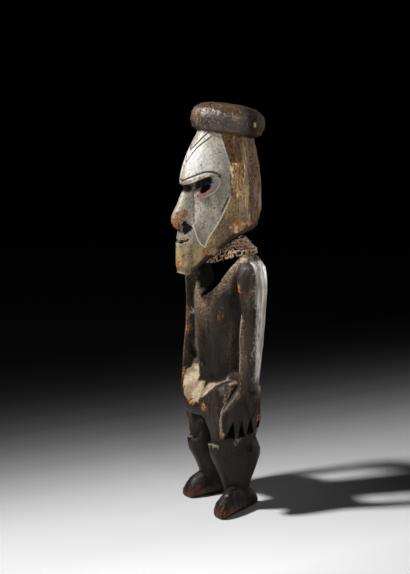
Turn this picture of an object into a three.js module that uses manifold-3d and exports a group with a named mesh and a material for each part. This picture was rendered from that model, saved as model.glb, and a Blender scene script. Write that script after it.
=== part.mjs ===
// Standing carved wooden figure with a looped-fibre collar round its neck.
// Millimetres, +Z up, the figure faces -Y and its left hand is on +X.
// The soles stand on z = 0.
//
// Every carved form is a stack of rings. A ring is a closed polygon of a few
// corners, and each corner is planed off into a short curve, which is how an
// adze leaves the wood. Tables below give the corners at a few heights, and
// the rings between those heights are interpolated.

import * as THREE from "three";
import Module from "manifold-3d";

const wasm = await Module();
wasm.setup();

// driving dimensions
const CORNER_STEPS = 2;
const MERGE_GRID = 1e4;
const CAP_TILT = THREE.MathUtils.degToRad(-9);
const CAP_CENTRE_Y = 8;
const CAP_CENTRE_Z = 572;
const CAP_HALF_WIDTH = 47;
const CAP_HALF_DEPTH = 57;
const NECK_Y = 10;
const NECK_RADIUS = 20;
const NECK_LENGTH = 100;
const NECK_Z = 385;
const COLLAR_WALL = 4;
const COLLAR_POINTS = 24;
const COLLAR_FRONT_DROP = 13;
const RIGHT_THIGH_BACK = 6;
const RIGHT_ANKLE_BACK = 10;
const RIGHT_FOOT_BACK = 12;
const RIGHT_ANKLE_IN = 8;
const RIGHT_WRIST_SHIFT = [5, -4];
const KNEE_RING_DROP = 10;
const RIGHT_HIP_WEAR = 10;
const CORNER_ALLOWANCE = 1.05;
const CAP_TURN = 0.35;
const CAP_PLANING = 14;
const MOUTH_CENTRE = [0, -69, 401];
const MOUTH_DEPTH = 26;
const NAVEL_Z = 218;

// Turns a three.js geometry into a manifold solid.
function solidOf(geometry) {
  const source = geometry.index ? geometry.toNonIndexed() : geometry;
  const position = source.getAttribute("position");
  const lookup = new Map();
  const vertices = [];
  const triangles = [];
  for (let i = 0; i < position.count; i += 1) {
    const x = position.getX(i);
    const y = position.getY(i);
    const z = position.getZ(i);
    const key = [x, y, z].map((value) => Math.round(value * MERGE_GRID)).join();
    if (!lookup.has(key)) {
      lookup.set(key, vertices.length / 3);
      vertices.push(x, y, z);
    }
    triangles.push(lookup.get(key));
  }
  const kept = [];
  for (let i = 0; i < triangles.length; i += 3) {
    const [a, b, c] = triangles.slice(i, i + 3);
    if (a !== b && b !== c && c !== a) kept.push(a, b, c);
  }
  return new wasm.Manifold(new wasm.Mesh({
    numProp: 3,
    vertProperties: new Float32Array(vertices),
    triVerts: new Uint32Array(kept),
  }));
}

// Turns a manifold solid back into a three.js geometry.
function geometryOf(solid) {
  const mesh = solid.getMesh();
  const geometry = new THREE.BufferGeometry();
  const position = new Float32Array(mesh.numVert * 3);
  for (let i = 0; i < mesh.numVert; i += 1) {
    for (let k = 0; k < 3; k += 1) {
      position[3 * i + k] = mesh.vertProperties[mesh.numProp * i + k];
    }
  }
  geometry.setAttribute("position", new THREE.BufferAttribute(position, 3));
  geometry.setIndex(new THREE.BufferAttribute(new Uint32Array(mesh.triVerts), 1));
  return geometry;
}

// Joins a list of solids into one.
function joined(solids) {
  return solids.reduce((whole, solid) => whole.add(solid));
}

// Planes every corner of a closed polygon into a short curve.
function planed(corners, cut) {
  const ring = [];
  const count = corners.length;
  for (let i = 0; i < count; i += 1) {
    const here = new THREE.Vector3(...corners[i]);
    const before = new THREE.Vector3(...corners[(i + count - 1) % count]);
    const after = new THREE.Vector3(...corners[(i + 1) % count]);
    const back = Math.min(cut, 0.42 * here.distanceTo(before));
    const ahead = Math.min(cut, 0.42 * here.distanceTo(after));
    const start = here.clone().lerp(before, back / here.distanceTo(before));
    const end = here.clone().lerp(after, ahead / here.distanceTo(after));
    const curve = new THREE.QuadraticBezierCurve3(start, here, end);
    ring.push(...curve.getPoints(CORNER_STEPS - 1));
  }
  return ring;
}

// Skins a stack of rings, bottom first, and closes both ends.
function skinned(rings) {
  const size = rings[0].length;
  const points = [];
  const index = [];
  rings.forEach((ring) => ring.forEach((p) => points.push(p.x, p.y, p.z)));
  for (let level = 0; level + 1 < rings.length; level += 1) {
    for (let i = 0; i < size; i += 1) {
      const j = (i + 1) % size;
      const low = level * size;
      const high = low + size;
      index.push(low + i, low + j, high + j);
      index.push(low + i, high + j, high + i);
    }
  }
  const ends = [
    { ring: rings[0], first: 0, up: false },
    { ring: rings.at(-1), first: (rings.length - 1) * size, up: true },
  ];
  ends.forEach(({ ring, first, up }) => {
    const centre = new THREE.Vector3();
    ring.forEach((p) => centre.add(p));
    centre.divideScalar(size);
    const hub = points.length / 3;
    points.push(centre.x, centre.y, centre.z);
    for (let i = 0; i < size; i += 1) {
      const j = (i + 1) % size;
      if (up) index.push(hub, first + i, first + j);
      else index.push(hub, first + j, first + i);
    }
  });
  const geometry = new THREE.BufferGeometry();
  geometry.setAttribute("position", new THREE.Float32BufferAttribute(points, 3));
  geometry.setIndex(index);
  return geometry;
}

// Fills in rings between the stations of a table. A station is
// [height, corner, corner, ...] with a corner as [x, y] or [x, y, own height].
function filled(stations, levels) {
  const width = stations[0].length - 1;
  const values = [];
  stations.forEach(([height, ...corners]) => {
    corners.forEach(([x, y, own]) => values.push(x, y, own ?? height));
  });
  const heights = stations.map((station) => station[0]);
  const curve = new THREE.CubicInterpolant(heights, values, 3 * width);
  return levels.map((level) => {
    const flat = Array.from(curve.evaluate(level));
    return Array.from({ length: width }, (_, i) => flat.slice(3 * i, 3 * i + 3));
  });
}

// Evenly spaced heights from the first station to the last.
function levelsOf(stations, count) {
  const first = stations[0][0];
  const last = stations.at(-1)[0];
  return Array.from({ length: count }, (_, i) => first + ((last - first) * i) / (count - 1));
}

// Adds the other half of a half outline that runs from the front to the back.
function bothHalves(corners) {
  const other = corners.filter(([x]) => x > 1e-6).map(([x, y, z]) => [-x, y, z]);
  return [...corners, ...other.reverse()];
}

// Mirrors corners to the other side of the body and keeps the ring's turn.
function otherSide(corners) {
  return corners.map(([x, y, z]) => [-x, y, z]).reverse();
}

// Carves one form out of a table of corners.
function carved(stations, count, cut, change = (corners) => corners) {
  const rings = filled(stations, levelsOf(stations, count));
  return solidOf(skinned(rings.map((corners) => planed(change(corners), cut))));
}

// Extrudes an outline drawn in (y, z) along x from one side to the other.
function slabAcross(outline, fromX, toX) {
  const shape = new THREE.Shape(outline.map(([y, z]) => new THREE.Vector2(y, z)));
  const slab = new THREE.ExtrudeGeometry(shape, { depth: toX - fromX, bevelEnabled: false });
  const frame = new THREE.Matrix4().makeBasis(
    new THREE.Vector3(0, 1, 0),
    new THREE.Vector3(0, 0, 1),
    new THREE.Vector3(1, 0, 0),
  );
  frame.setPosition(fromX, 0, 0);
  return solidOf(slab.applyMatrix4(frame));
}

// An egg-shaped form, turned by Euler angles in degrees.
function egg(centre, radii, turn = [0, 0, 0], detail = [16, 10]) {
  const ball = new THREE.SphereGeometry(1, ...detail);
  const angles = new THREE.Euler(...turn.map(THREE.MathUtils.degToRad));
  ball.scale(...radii);
  ball.applyMatrix4(new THREE.Matrix4().makeRotationFromEuler(angles));
  ball.translate(...centre);
  return solidOf(ball);
}

// Head below the brow: a wedge with flat cheeks and a blunt chin.
const FACE = [
  [341.5, [0, -74], [12, -72], [20, -50], [29, -20], [31, 6], [28, 24], [14, 40], [0, 44]],
  [353.5, [0, -77], [14, -75], [22, -51], [31.5, -18], [34, 8], [29, 28], [15, 46], [0, 50]],
  [377, [0, -77.5], [14, -75.5], [24, -48], [34, -14], [36, 9], [30, 30], [16, 50], [0, 54]],
  [402, [0, -77], [13.5, -74.5], [24.5, -45], [35.5, -12], [37.5, 10], [30.5, 30], [16, 54], [0, 60]],
  [421.5, [0, -75], [13, -70], [25, -41], [36.5, -11], [38.5, 10], [31, 30], [17, 57], [0, 64]],
  [438, [0, -70], [12.5, -63], [25, -39], [37, -11], [39, 10], [31, 30], [17, 59], [0, 66.5]],
  [455.5, [0, -63], [11, -57.5], [24.5, -37], [37, -11], [39, 10], [31, 30], [17, 59.5], [0, 67]],
  [475, [0, -62], [11, -56.5], [24.5, -36], [37, -11], [39, 10], [31, 30], [17, 59], [0, 66]],
];

// Underside of the brow and its front edge. The ring climbs outwards.
const BROW_UNDER = [
  [0, -61, 482], [12, -56, 484], [25, -36, 494], [37, -12, 500],
  [39, 10, 494.5], [31, 30, 488.5], [17, 58.5, 487], [0, 65.5, 485],
];
const BROW_LIP = [
  [0, -70.5, 480.5], [14, -68, 483], [29, -50, 494.5], [38, -14, 501.5],
  [39, 10, 496], [31, 30, 490], [17, 58, 488.5], [0, 65, 486.5],
];
const BROW_TOP = [
  [0, -71, 487], [14, -68.5, 489], [29, -49, 500.5], [38, -14, 506],
  [38.5, 10, 500.5], [31, 30, 495.5], [17, 57.5, 493.5], [0, 64, 492.5],
];

// Forehead and crown.
const CROWN = [
  [511, [0, -66], [14, -62.5], [27.5, -45], [36.5, -13], [37.5, 10], [30, 29], [16, 55], [0, 61]],
  [523.5, [0, -61], [13.5, -57.5], [26, -41], [35, -12], [36, 10], [29, 28], [15, 52], [0, 58]],
  [542.5, [0, -51], [13, -47.5], [24.5, -33], [33, -9], [34, 10], [27, 27], [14, 48], [0, 54]],
  [558, [0, -41], [12, -38], [23, -25], [30, -6], [31, 10], [25, 25], [13, 43], [0, 48]],
  [575.5, [0, -34], [11, -31], [21, -20], [27, -4], [28, 10], [22, 23], [11, 38], [0, 42]],
];

// Jaw line seen from the side, as (y, z). Everything below it is cut away.
const JAW = [
  [-90, 357], [-77, 356], [-70, 353], [-64, 356], [-45, 371.5], [-24, 387.5], [-6, 401],
  [16, 411], [36, 414], [48, 420], [58, 430], [70, 445], [90, 450], [90, 300], [-90, 300],
];

function head() {
  const rings = [
    ...filled(FACE, [341.5, 353.5, 365, 377, 390, 402, 412, 421.5, 430, 438, 447, 455.5, 475]),
    BROW_UNDER,
    BROW_LIP,
    BROW_TOP,
    ...filled(CROWN, [511, 523.5, 533, 542.5, 550, 558, 575.5]),
  ];
  const block = solidOf(skinned(rings.map((corners) => planed(bothHalves(corners), 9))));
  return block.subtract(slabAcross(JAW, -60, 60));
}

// Nose: a straight ridge with a bulb at the tip.
const NOSE = [
  [417.5, [0, -78], [5, -76], [8, -68], [8, -50], [0, -48]],
  [422.5, [0, -84.5], [7, -81], [10, -69], [10, -50], [0, -48]],
  [432.5, [0, -88], [8.5, -84], [11.5, -70], [11, -50], [0, -48]],
  [442, [0, -86], [8, -82.5], [11, -68], [11, -50], [0, -48]],
  [455.5, [0, -78], [6.5, -76], [10, -63], [11, -50], [0, -48]],
  [470.5, [0, -71.5], [5.5, -70], [9.5, -60], [11, -48], [0, -46]],
  [488.5, [0, -68], [5, -66], [9, -58], [10, -46], [0, -44]],
];

function nose() {
  const ridge = carved(NOSE, 12, 3.5, bothHalves);
  const hollows = [1, -1].map((side) => egg([9 * side, -67, 420], [6.8, 11, 12], [20, 0, 0], [10, 7]));
  return ridge.subtract(joined(hollows));
}

// One almond eye lies on the cheek plane and slants up towards the ear.
const EYE_CENTRE = [23.5, -40.5, 480];
const EYE_RADII = [3.4, 23, 7];
const EYE_TURN = [38, 0, 29];

function eyeGeometry(radii, out) {
  const ball = new THREE.SphereGeometry(1, 12, 8);
  const turn = EYE_TURN.map(THREE.MathUtils.degToRad);
  ball.scale(...radii);
  ball.rotateX(turn[0]);
  ball.rotateZ(-turn[2]);
  const outward = new THREE.Vector3(Math.cos(turn[2]), -Math.sin(turn[2]), 0).multiplyScalar(out);
  ball.translate(EYE_CENTRE[0] + outward.x, EYE_CENTRE[1] + outward.y, EYE_CENTRE[2]);
  return ball;
}

function mirroredGeometry(geometry) {
  const flat = geometry.index ? geometry.toNonIndexed() : geometry.clone();
  const position = flat.getAttribute("position");
  const turned = [];
  for (let i = 0; i < position.count; i += 3) {
    [i, i + 2, i + 1].forEach((k) => {
      turned.push(-position.getX(k), position.getY(k), position.getZ(k));
    });
  }
  const mirrored = new THREE.BufferGeometry();
  mirrored.setAttribute("position", new THREE.Float32BufferAttribute(turned, 3));
  return mirrored;
}

// Ear: a raised tab, square at the top and pointed below, with a hollow.
const EAR_OUTLINE = [
  [-8.5, 513], [10.5, 513.5], [13.5, 504], [13, 490], [8, 477],
  [-3.5, 463.5], [-8, 467], [-10, 484], [-9.5, 500],
];
const EAR_HOLLOW = [[-4.5, 506], [8, 507], [10, 498], [9, 489], [4, 478], [-3.5, 470], [-5.5, 487]];

function ear(side) {
  const inner = side > 0 ? 34 : -42.5;
  const outer = side > 0 ? 42.5 : -34;
  const hollowFrom = side > 0 ? 39.8 : -46;
  const hollowTo = side > 0 ? 46 : -39.8;
  const tab = slabAcross(EAR_OUTLINE, inner, outer);
  return tab.subtract(slabAcross(EAR_HOLLOW, hollowFrom, hollowTo));
}

// Cap: a thick rounded disc with planed sides, tipped back.
const CAP_SIDES = 11;
const CAP_PROFILE = [[-19, 0.8], [-15, 0.93], [-4, 1], [6, 0.99], [13, 0.93], [20, 0.76], [23.5, 0.5]];

function cap() {
  const rings = CAP_PROFILE.map(([height, share]) => {
    const corners = Array.from({ length: CAP_SIDES }, (_, i) => {
      const angle = (2 * Math.PI * (i + CAP_TURN)) / CAP_SIDES;
      const x = CORNER_ALLOWANCE * CAP_HALF_WIDTH * share * Math.cos(angle);
      const y = CORNER_ALLOWANCE * CAP_HALF_DEPTH * share * Math.sin(angle);
      return [x, y, height];
    });
    return planed(corners, CAP_PLANING * share);
  });
  const disc = skinned(rings);
  disc.rotateX(CAP_TILT);
  disc.translate(0, CAP_CENTRE_Y, CAP_CENTRE_Z);
  return solidOf(disc);
}

// Trunk from the hips to the shoulders.
const TRUNK = [
  [168, [0, -33], [15, -30], [29, -20], [44, -8], [42, 18], [22, 28], [0, 26]],
  [194.5, [0, -33], [16, -30], [30, -21], [45.5, -8.5], [43, 16], [22, 26], [0, 24]],
  [209, [0, -34], [19, -32], [33, -21.7], [41, -4.8], [39, 15], [21, 24], [0, 22]],
  [232, [0, -35], [22, -33.5], [31.5, -21], [39, -2.4], [37, 14], [21, 22], [0, 20]],
  [257.5, [0, -36.5], [23, -35], [33, -22.5], [39.5, -1.2], [37, 15], [21, 22], [0, 20]],
  [287.5, [0, -38.5], [24, -37], [34.5, -24], [41, -0.8], [39, 17], [22, 25], [0, 23]],
  [317.5, [0, -39], [24, -37], [35.5, -23.2], [43, -0.5], [42, 20], [24, 28], [0, 26]],
  [343.5, [0, -35], [22, -31], [40, -18.7], [53, -2], [50, 22], [26, 33], [0, 33]],
  [362.5, [0, -28], [22, -24], [45, -15], [66, -6], [62, 23], [30, 37], [0, 38]],
  [372, [0, -18], [22, -14], [49, -11], [70, -4], [66, 21], [30, 38], [0, 40]],
  [379.3, [0, -8], [22, -5], [48, -7], [65, 0], [61, 16], [28, 33], [0, 35]],
];

// The hollow under the chin that leaves the U-shaped edge on the chest, as
// outlines in (x, z) at two depths.
const HOLLOW = [
  { depth: -72, outline: [[0, 312], [10, 314], [24, 321], [36, 333], [46, 347], [56, 362], [62, 400]] },
  { depth: -38, outline: [[0, 316], [10, 320.5], [20, 326], [31, 335], [39, 349], [48, 363], [60, 400]] },
  { depth: -3, outline: [[0, 330], [12, 333], [23, 342], [33, 355], [42, 367], [52, 379], [57, 400]] },
];

function hollow() {
  const rings = HOLLOW.map(({ depth, outline }) => {
    const other = outline.slice(1).map(([x, z]) => [-x, z]).reverse();
    return [...other, ...outline].map(([x, z]) => new THREE.Vector3(x, depth, z));
  });
  return solidOf(skinned(rings.reverse()));
}

// One arm from the shoulder to the wrist.
const ARM = [
  [152, [60, -20], [68, -26], [77, -14], [78, 0], [74, 13], [64, 16], [58, 10], [56, 0]],
  [170, [60, -18], [69, -26], [81, -12], [83, 1], [75.5, 15], [63, 17], [56, 12], [54, 0]],
  [188.5, [64, -17], [70.5, -22], [84, -9], [86, 2], [75.5, 15], [66, 16], [61, 11], [60, 0]],
  [212, [68.5, -15], [72, -19], [86.5, -9], [88, 3], [77, 17.5], [70, 17.5], [66, 11], [66, 0]],
  [242, [70.5, -15], [73, -19], [88.5, -8], [90, 5], [79, 20], [72, 19], [68.5, 12], [68, 1]],
  [269.5, [70.5, -16], [73, -20], [90, -6], [91.5, 7], [81, 22], [74, 21], [70, 13], [69.5, 1]],
  [307.5, [73, -14], [76, -18.5], [91.5, -3], [93, 9], [83, 23], [76, 21.5], [72, 14], [71, 1]],
  [337.5, [68, -17], [73, -22], [92, -4], [94, 9], [84.5, 24], [74, 25], [67, 18], [65, 3]],
  [359.5, [56, -15], [71, -22], [89, -6], [92, 8], [83, 23], [70, 28], [56, 22], [54, 5]],
  [371, [53, -9], [69, -15], [85, -4], [88, 8], [80, 22], [67, 26], [54, 21], [50, 6]],
  [378, [51, -6], [66, -10], [80, 0], [83.5, 9], [79, 20], [65, 22], [53, 18], [50, 7]],
  [383, [53, 0], [60, -2], [69, 4], [72, 10], [68, 17], [61, 18], [55, 14], [52, 7]],
];

// Wood left between the wrist and the hip. Above it the arm stands clear of
// the flank up to the armpit.
const HIP_WEB = [
  [155.5, [30, -16], [52, -18], [72, -12], [72, 12], [40, 18]],
  [180, [32, -14], [52, -15], [72, -10], [72, 12], [40, 17]],
  [198, [34, -10], [50, -11], [72, -6], [72, 10], [40, 15]],
  [207, [36, -5], [50, -5], [70, -2], [70, 7], [42, 12]],
];

// Lap: the rings climb from the front edge of the thighs to the belly.
const HIPS = [
  [[0, -34, 136], [16, -44, 136], [42, -46, 136], [62, -40, 136], [66, 0, 136], [55, 28, 136],
    [32, 42, 136], [0, 36, 136]],
  [[0, -46, 156], [20, -50, 154], [44, -51, 162], [64, -42, 168], [68, 0, 172], [61, 32, 164],
    [34, 46, 162], [0, 43, 162]],
  [[0, -48, 161.5], [21, -51.5, 164], [38, -52, 180], [54, -43, 191], [64, -20, 198], [60, 30, 184],
    [34, 43, 180], [0, 41, 180]],
  [[0, -31, 193.5], [14, -29, 193.5], [30, -20, 195], [46, -9, 198], [55, -4, 202], [48, 21, 196],
    [28, 32, 194], [0, 31, 194]],
  [[0, -20, 199], [12, -19, 199], [24, -14, 200], [38, -4, 203], [42, 2, 205], [40, 20, 205],
    [24, 26, 207], [0, 24, 207]],
];

// How far the outer front corner of the right thigh is worn back.
function thighWear(outward, y) {
  return y < -20 ? RIGHT_HIP_WEAR * THREE.MathUtils.smoothstep(outward, 20, 50) : 0;
}

// One leg from the hip to the ankle. The step at the knee is a carved ring.
const THIGH = [
  [101, [20, -33], [35, -41], [54, -35], [60, -2], [52, 25], [37, 36], [21, 31], [15, 0]],
  [114.5, [20, -34], [34, -42.5], [54, -36], [62, 0], [53.5, 28], [38, 39], [20, 34], [14, 0]],
  [130, [20, -41], [35, -48.5], [61, -42], [65, 0], [56, 31], [37, 43], [18, 36], [12, 0]],
  [147.5, [18, -47.5], [35, -53], [66, -46], [67, 0], [57, 31], [36, 44], [16, 38], [10, 0]],
  [162, [17, -50], [35, -53], [66, -45], [67, 0], [57, 31], [34, 43], [14, 38], [8, 0]],
];
const SHIN = [
  [14.5, [33, -20], [44, -25], [55, -19], [60, -3], [56, 12], [46, 17], [35, 12], [30, -4]],
  [34.5, [32, -20], [44, -25.5], [56, -19], [61, -3], [56, 13], [46, 18], [34, 12], [30, -4]],
  [48, [29, -25], [43, -30], [56, -22], [61, 0], [55, 20], [44, 26], [32, 18], [26, -2]],
  [67, [24, -30.5], [39, -37], [54, -28], [60.5, 2], [54, 29], [41, 36], [26, 27], [20, 0]],
  [87.5, [20.5, -37], [36.5, -45.5], [54, -35], [61.5, 2], [55, 33], [39, 43], [22, 34], [16, 0]],
  [97, [19.5, -37.5], [36, -46.5], [54, -36], [61.5, 0], [53, 29], [38, 40], [21.5, 34], [15, 0]],
  [102, [19, -37], [35.5, -46.5], [54, -36], [60.5, -2], [52.5, 26], [37, 37], [21, 33], [15, 0]],
];

function leg(side) {
  const place = (corners) => {
    if (side > 0) return corners;
    const shifted = corners.map(([x, y, z]) => {
      const share = THREE.MathUtils.clamp((150 - z) / 120, 0, 1);
      const back = THREE.MathUtils.lerp(RIGHT_THIGH_BACK, RIGHT_ANKLE_BACK, share * share);
      const inward = RIGHT_ANKLE_IN * share * share;
      const nearKnee = THREE.MathUtils.smoothstep(z, 30, 97) * (1 - THREE.MathUtils.smoothstep(z, 106, 150));
      const worn = thighWear(x, y) * THREE.MathUtils.smoothstep(z, 105, 140);
      return [x - inward - 0.6 * worn, y + back + worn, z - KNEE_RING_DROP * nearKnee];
    });
    return otherSide(shifted);
  };
  return joined([
    carved(THIGH, 8, 9, place),
    carved(SHIN, 12, 10, place),
  ]);
}

// One foot, in sections across: [y, centre x, half width, height].
const FOOT = [
  [37, 39, 5, 8],
  [34, 39.5, 9.5, 17],
  [27, 41, 12.5, 26],
  [17, 43.5, 14.5, 33],
  [3, 48, 16, 38],
  [-14, 54.5, 17, 41],
  [-28, 60, 17.5, 37],
  [-39, 64, 17.5, 31],
  [-46.5, 66.5, 16.5, 23],
  [-51, 68, 13.5, 15],
  [-53, 68.5, 9, 9],
];

// The left foot points outwards, the right one almost straight ahead.
function footCentre(side, centre) {
  return side > 0 ? centre : -38 - 0.12 * (centre - 48);
}

function foot(side) {
  const back = side > 0 ? 0 : RIGHT_FOOT_BACK;
  const rings = FOOT.map(([y, centre, half, height]) => {
    const section = [
      [-0.86 * half, 0], [-half, 0.32 * height], [-0.62 * half, 0.82 * height], [0, height],
      [0.62 * half, 0.82 * height], [half, 0.32 * height], [0.86 * half, 0],
    ];
    const corners = section.map(([x, z]) => [footCentre(side, centre) + x, y + back, z]);
    return planed(corners.reverse(), 4);
  });
  return solidOf(skinned(rings));
}

// Grooves between the toes.
function toeGrooves(side) {
  const back = side > 0 ? 0 : RIGHT_FOOT_BACK;
  const cuts = [-12, -4, 4, 12].map((x) => {
    const y = -54 + back + 0.035 * x ** 2;
    const groove = new THREE.CylinderGeometry(1.7, 1.7, 30, 4);
    groove.rotateX(THREE.MathUtils.degToRad(52));
    groove.translate(footCentre(side, 68) + x, y, 10);
    return solidOf(groove);
  });
  return joined(cuts);
}

// Hands: flat paddles on the outside of the thighs, as (y, z) outlines.
const LEFT_HAND = [
  [-6, 203], [-17, 192], [-27, 181], [-39, 170], [-47, 161], [-51, 151], [-51.5, 138],
  [-48.5, 120], [-44, 116], [-30, 117], [-12, 117.5], [2, 120.5], [13, 126], [17, 139], [17.5, 156],
  [15, 178], [10, 198],
];
const RIGHT_HAND = [
  [-8, 203], [-17, 193], [-21, 183], [-23, 172], [-23.5, 162], [-22.5, 151], [-20.5, 137],
  [-18, 118], [-14, 112], [-3, 114], [10, 117], [23, 120], [30, 123], [32, 139], [31, 155],
  [22, 176], [12, 198],
];

// Thickness of a hand, as [x, how far the outline draws in].
const HAND_PROFILE = [[58, 9], [66, 2], [70, 0], [76.5, 0], [79.5, 2.5]];

// Pointed gaps between the fingers: [y at the tip, y at both ends of the base, depth].
const FINGER_GAPS = [[-33, -51, -30, 21], [-18, -25, -12, 19], [-2, -12, 4, 22], [11.5, 5, 15, 19]];

function hand(side) {
  const outline = side > 0 ? LEFT_HAND : RIGHT_HAND;
  const shift = side > 0 ? 0 : 17;
  const bottom = side > 0 ? 121 : 115;
  const middle = outline.reduce(([a, b], [y, z]) => [a + y / outline.length, b + z / outline.length], [0, 0]);
  const rings = HAND_PROFILE.map(([x, inset]) => outline.map(([y, z]) => {
    const reach = Math.hypot(y - middle[0], z - middle[1]);
    const share = 1 - inset / reach;
    const point = [middle[0] + share * (y - middle[0]), middle[1] + share * (z - middle[1])];
    return new THREE.Vector3(side * x, ...point);
  }));
  let paddle = solidOf(skinned(side > 0 ? rings : rings.reverse()));
  FINGER_GAPS.forEach(([y, from, to, depth]) => {
    const gap = [
      [y + shift, bottom + depth],
      [from + shift, bottom - 9],
      [to + shift, bottom - 9],
    ];
    const gapSpan = side > 0 ? [69, 90] : [-90, -69];
    paddle = paddle.subtract(slabAcross(gap, ...gapSpan));
  });
  return paddle;
}

function hipCorners(corners) {
  return bothHalves(corners).map(([x, y, z]) => [x, y + thighWear(-x, y), z]);
}

// A thin curved slot for the mouth, as (x, z) about its middle.
const MOUTH_OUTLINE = [
  [-14, 3], [-7, 0.6], [0, 0], [7, 0.6], [14, 3], [7, -2.2], [0, -3], [-7, -2.2],
];

function mouth() {
  const shape = new THREE.Shape(MOUTH_OUTLINE.map(([x, z]) => new THREE.Vector2(x, z)));
  const slot = new THREE.ExtrudeGeometry(shape, { depth: MOUTH_DEPTH, bevelEnabled: false });
  slot.rotateX(Math.PI / 2);
  slot.translate(...MOUTH_CENTRE);
  return solidOf(slot);
}

// A small hole at the middle of each eye.
const PUPIL_RADII = [6, 4.6, 2.6];
const PUPIL_OUT = 4;

function pupil(side) {
  const hole = eyeGeometry(PUPIL_RADII, PUPIL_OUT);
  return solidOf(side > 0 ? hole : mirroredGeometry(hole));
}

// Boss in the middle of the lap, and the navel as a ring with a hole.
const BOSS = { centre: [0, -49, 158], radii: [7, 8, 7] };
const NAVEL_RING = { centre: [0, -33.5, NAVEL_Z], radii: [8, 4, 7] };
const NAVEL_HOLE = { centre: [0, -37.5, NAVEL_Z], radii: [4.2, 4, 4.2] };

// The whole carving.
function figure() {
  const trunk = carved(TRUNK, 15, 9, bothHalves).subtract(hollow());
  const neck = new THREE.CylinderGeometry(NECK_RADIUS, NECK_RADIUS, NECK_LENGTH, 14);
  neck.rotateX(Math.PI / 2);
  neck.translate(0, NECK_Y, NECK_Z);
  const hips = solidOf(skinned(HIPS.map((corners) => planed(hipCorners(corners), 7))));
  const [boss, navelRing, navelHole] = [BOSS, NAVEL_RING, NAVEL_HOLE].map(
    ({ centre, radii }) => egg(centre, radii, [0, 0, 0], [12, 8]),
  );
  const sides = [1, -1].flatMap((side) => {
    const place = (corners) => (side > 0 ? corners : otherSide(corners.map(([x, y, z]) => {
      const share = 1 - THREE.MathUtils.smoothstep(z, 205, 275);
      return [x + share * RIGHT_WRIST_SHIFT[0], y + share * RIGHT_WRIST_SHIFT[1], z];
    })));
    const eye = eyeGeometry(EYE_RADII, 0);
    return [
      carved(ARM, 16, 6, place),
      carved(HIP_WEB, 6, 4, place),
      hand(side),
      leg(side),
      foot(side).subtract(toeGrooves(side)),
      ear(side),
      solidOf(side > 0 ? eye : mirroredGeometry(eye)),
    ];
  });
  const body = joined([trunk, solidOf(neck), hips, boss, navelRing, head(), nose(), cap(), ...sides]);
  return body
    .subtract(pupil(1))
    .subtract(pupil(-1))
    .subtract(mouth())
    .subtract(navelHole);
}

// Collar: netting that spreads from the neck over the shoulders, lower in front.
const COLLAR_ROWS = [
  { halfWidth: 46, halfDepth: 38.5, height: 380.8 },
  { halfWidth: 44.5, halfDepth: 37.5, height: 385 },
  { halfWidth: 38, halfDepth: 32.5, height: 390 },
  { halfWidth: 31, halfDepth: 28, height: 396 },
  { halfWidth: 25, halfDepth: 24, height: 400 },
];

function collarRing({ halfWidth, halfDepth, height }, out, lift) {
  return Array.from({ length: COLLAR_POINTS }, (_, i) => {
    const angle = (2 * Math.PI * i) / COLLAR_POINTS;
    const front = Math.max(0, -Math.sin(angle));
    return new THREE.Vector3(
      (halfWidth + out) * Math.cos(angle),
      NECK_Y + (halfDepth + out) * Math.sin(angle),
      height + lift - COLLAR_FRONT_DROP * front ** 3,
    );
  });
}

function collar() {
  const half = COLLAR_WALL / 2;
  const outer = COLLAR_ROWS.map((row) => collarRing(row, half, 0));
  const inner = COLLAR_ROWS.map((row) => collarRing(row, -half, -half));
  const whole = solidOf(skinned([...outer, collarRing(COLLAR_ROWS.at(-1), half - 1, half)]));
  const bore = solidOf(skinned([
    collarRing(COLLAR_ROWS[0], -half, -2 * COLLAR_WALL),
    ...inner,
    collarRing(COLLAR_ROWS.at(-1), -half, 2 * COLLAR_WALL),
  ]));
  return whole.subtract(bore);
}

const wood = new THREE.MeshStandardMaterial({ color: 0x4a3628, roughness: 0.5, metalness: 0 });
const fibre = new THREE.MeshStandardMaterial({ color: 0xa38a6c, roughness: 0.9, metalness: 0 });

const whole = new THREE.Group();
whole.name = "carved_statue";
const body = figure();
const pieces = [
  ["figure", body, wood],
  ["fibre_collar", collar(), fibre],
];
pieces.forEach(([name, solid, material]) => {
  const mesh = new THREE.Mesh(geometryOf(solid), material);
  mesh.name = name;
  whole.add(mesh);
});

// The frame's origin is the middle of the object's bounds, on the ground.
const middle = new THREE.Box3().setFromObject(whole).getCenter(new THREE.Vector3());
whole.children.forEach((mesh) => mesh.geometry.translate(-middle.x, -middle.y, 0));

export default whole;
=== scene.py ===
# %% [markdown]
# # A carved wooden figure with a string collar
#
# The real object is cut from one block of wood with an adze and a knife, rubbed
# smooth, darkened by handling and smoke, and painted with clay on the face. A
# collar of looped string sits round its neck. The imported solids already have
# the right size and the main shapes, so this script starts from them, rounds
# what hands have worn, cuts the fine lines, and gives wood, paint and string
# their surfaces.

import math

import bpy
import numpy as np
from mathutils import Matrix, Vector
from mathutils.kdtree import KDTree


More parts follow.
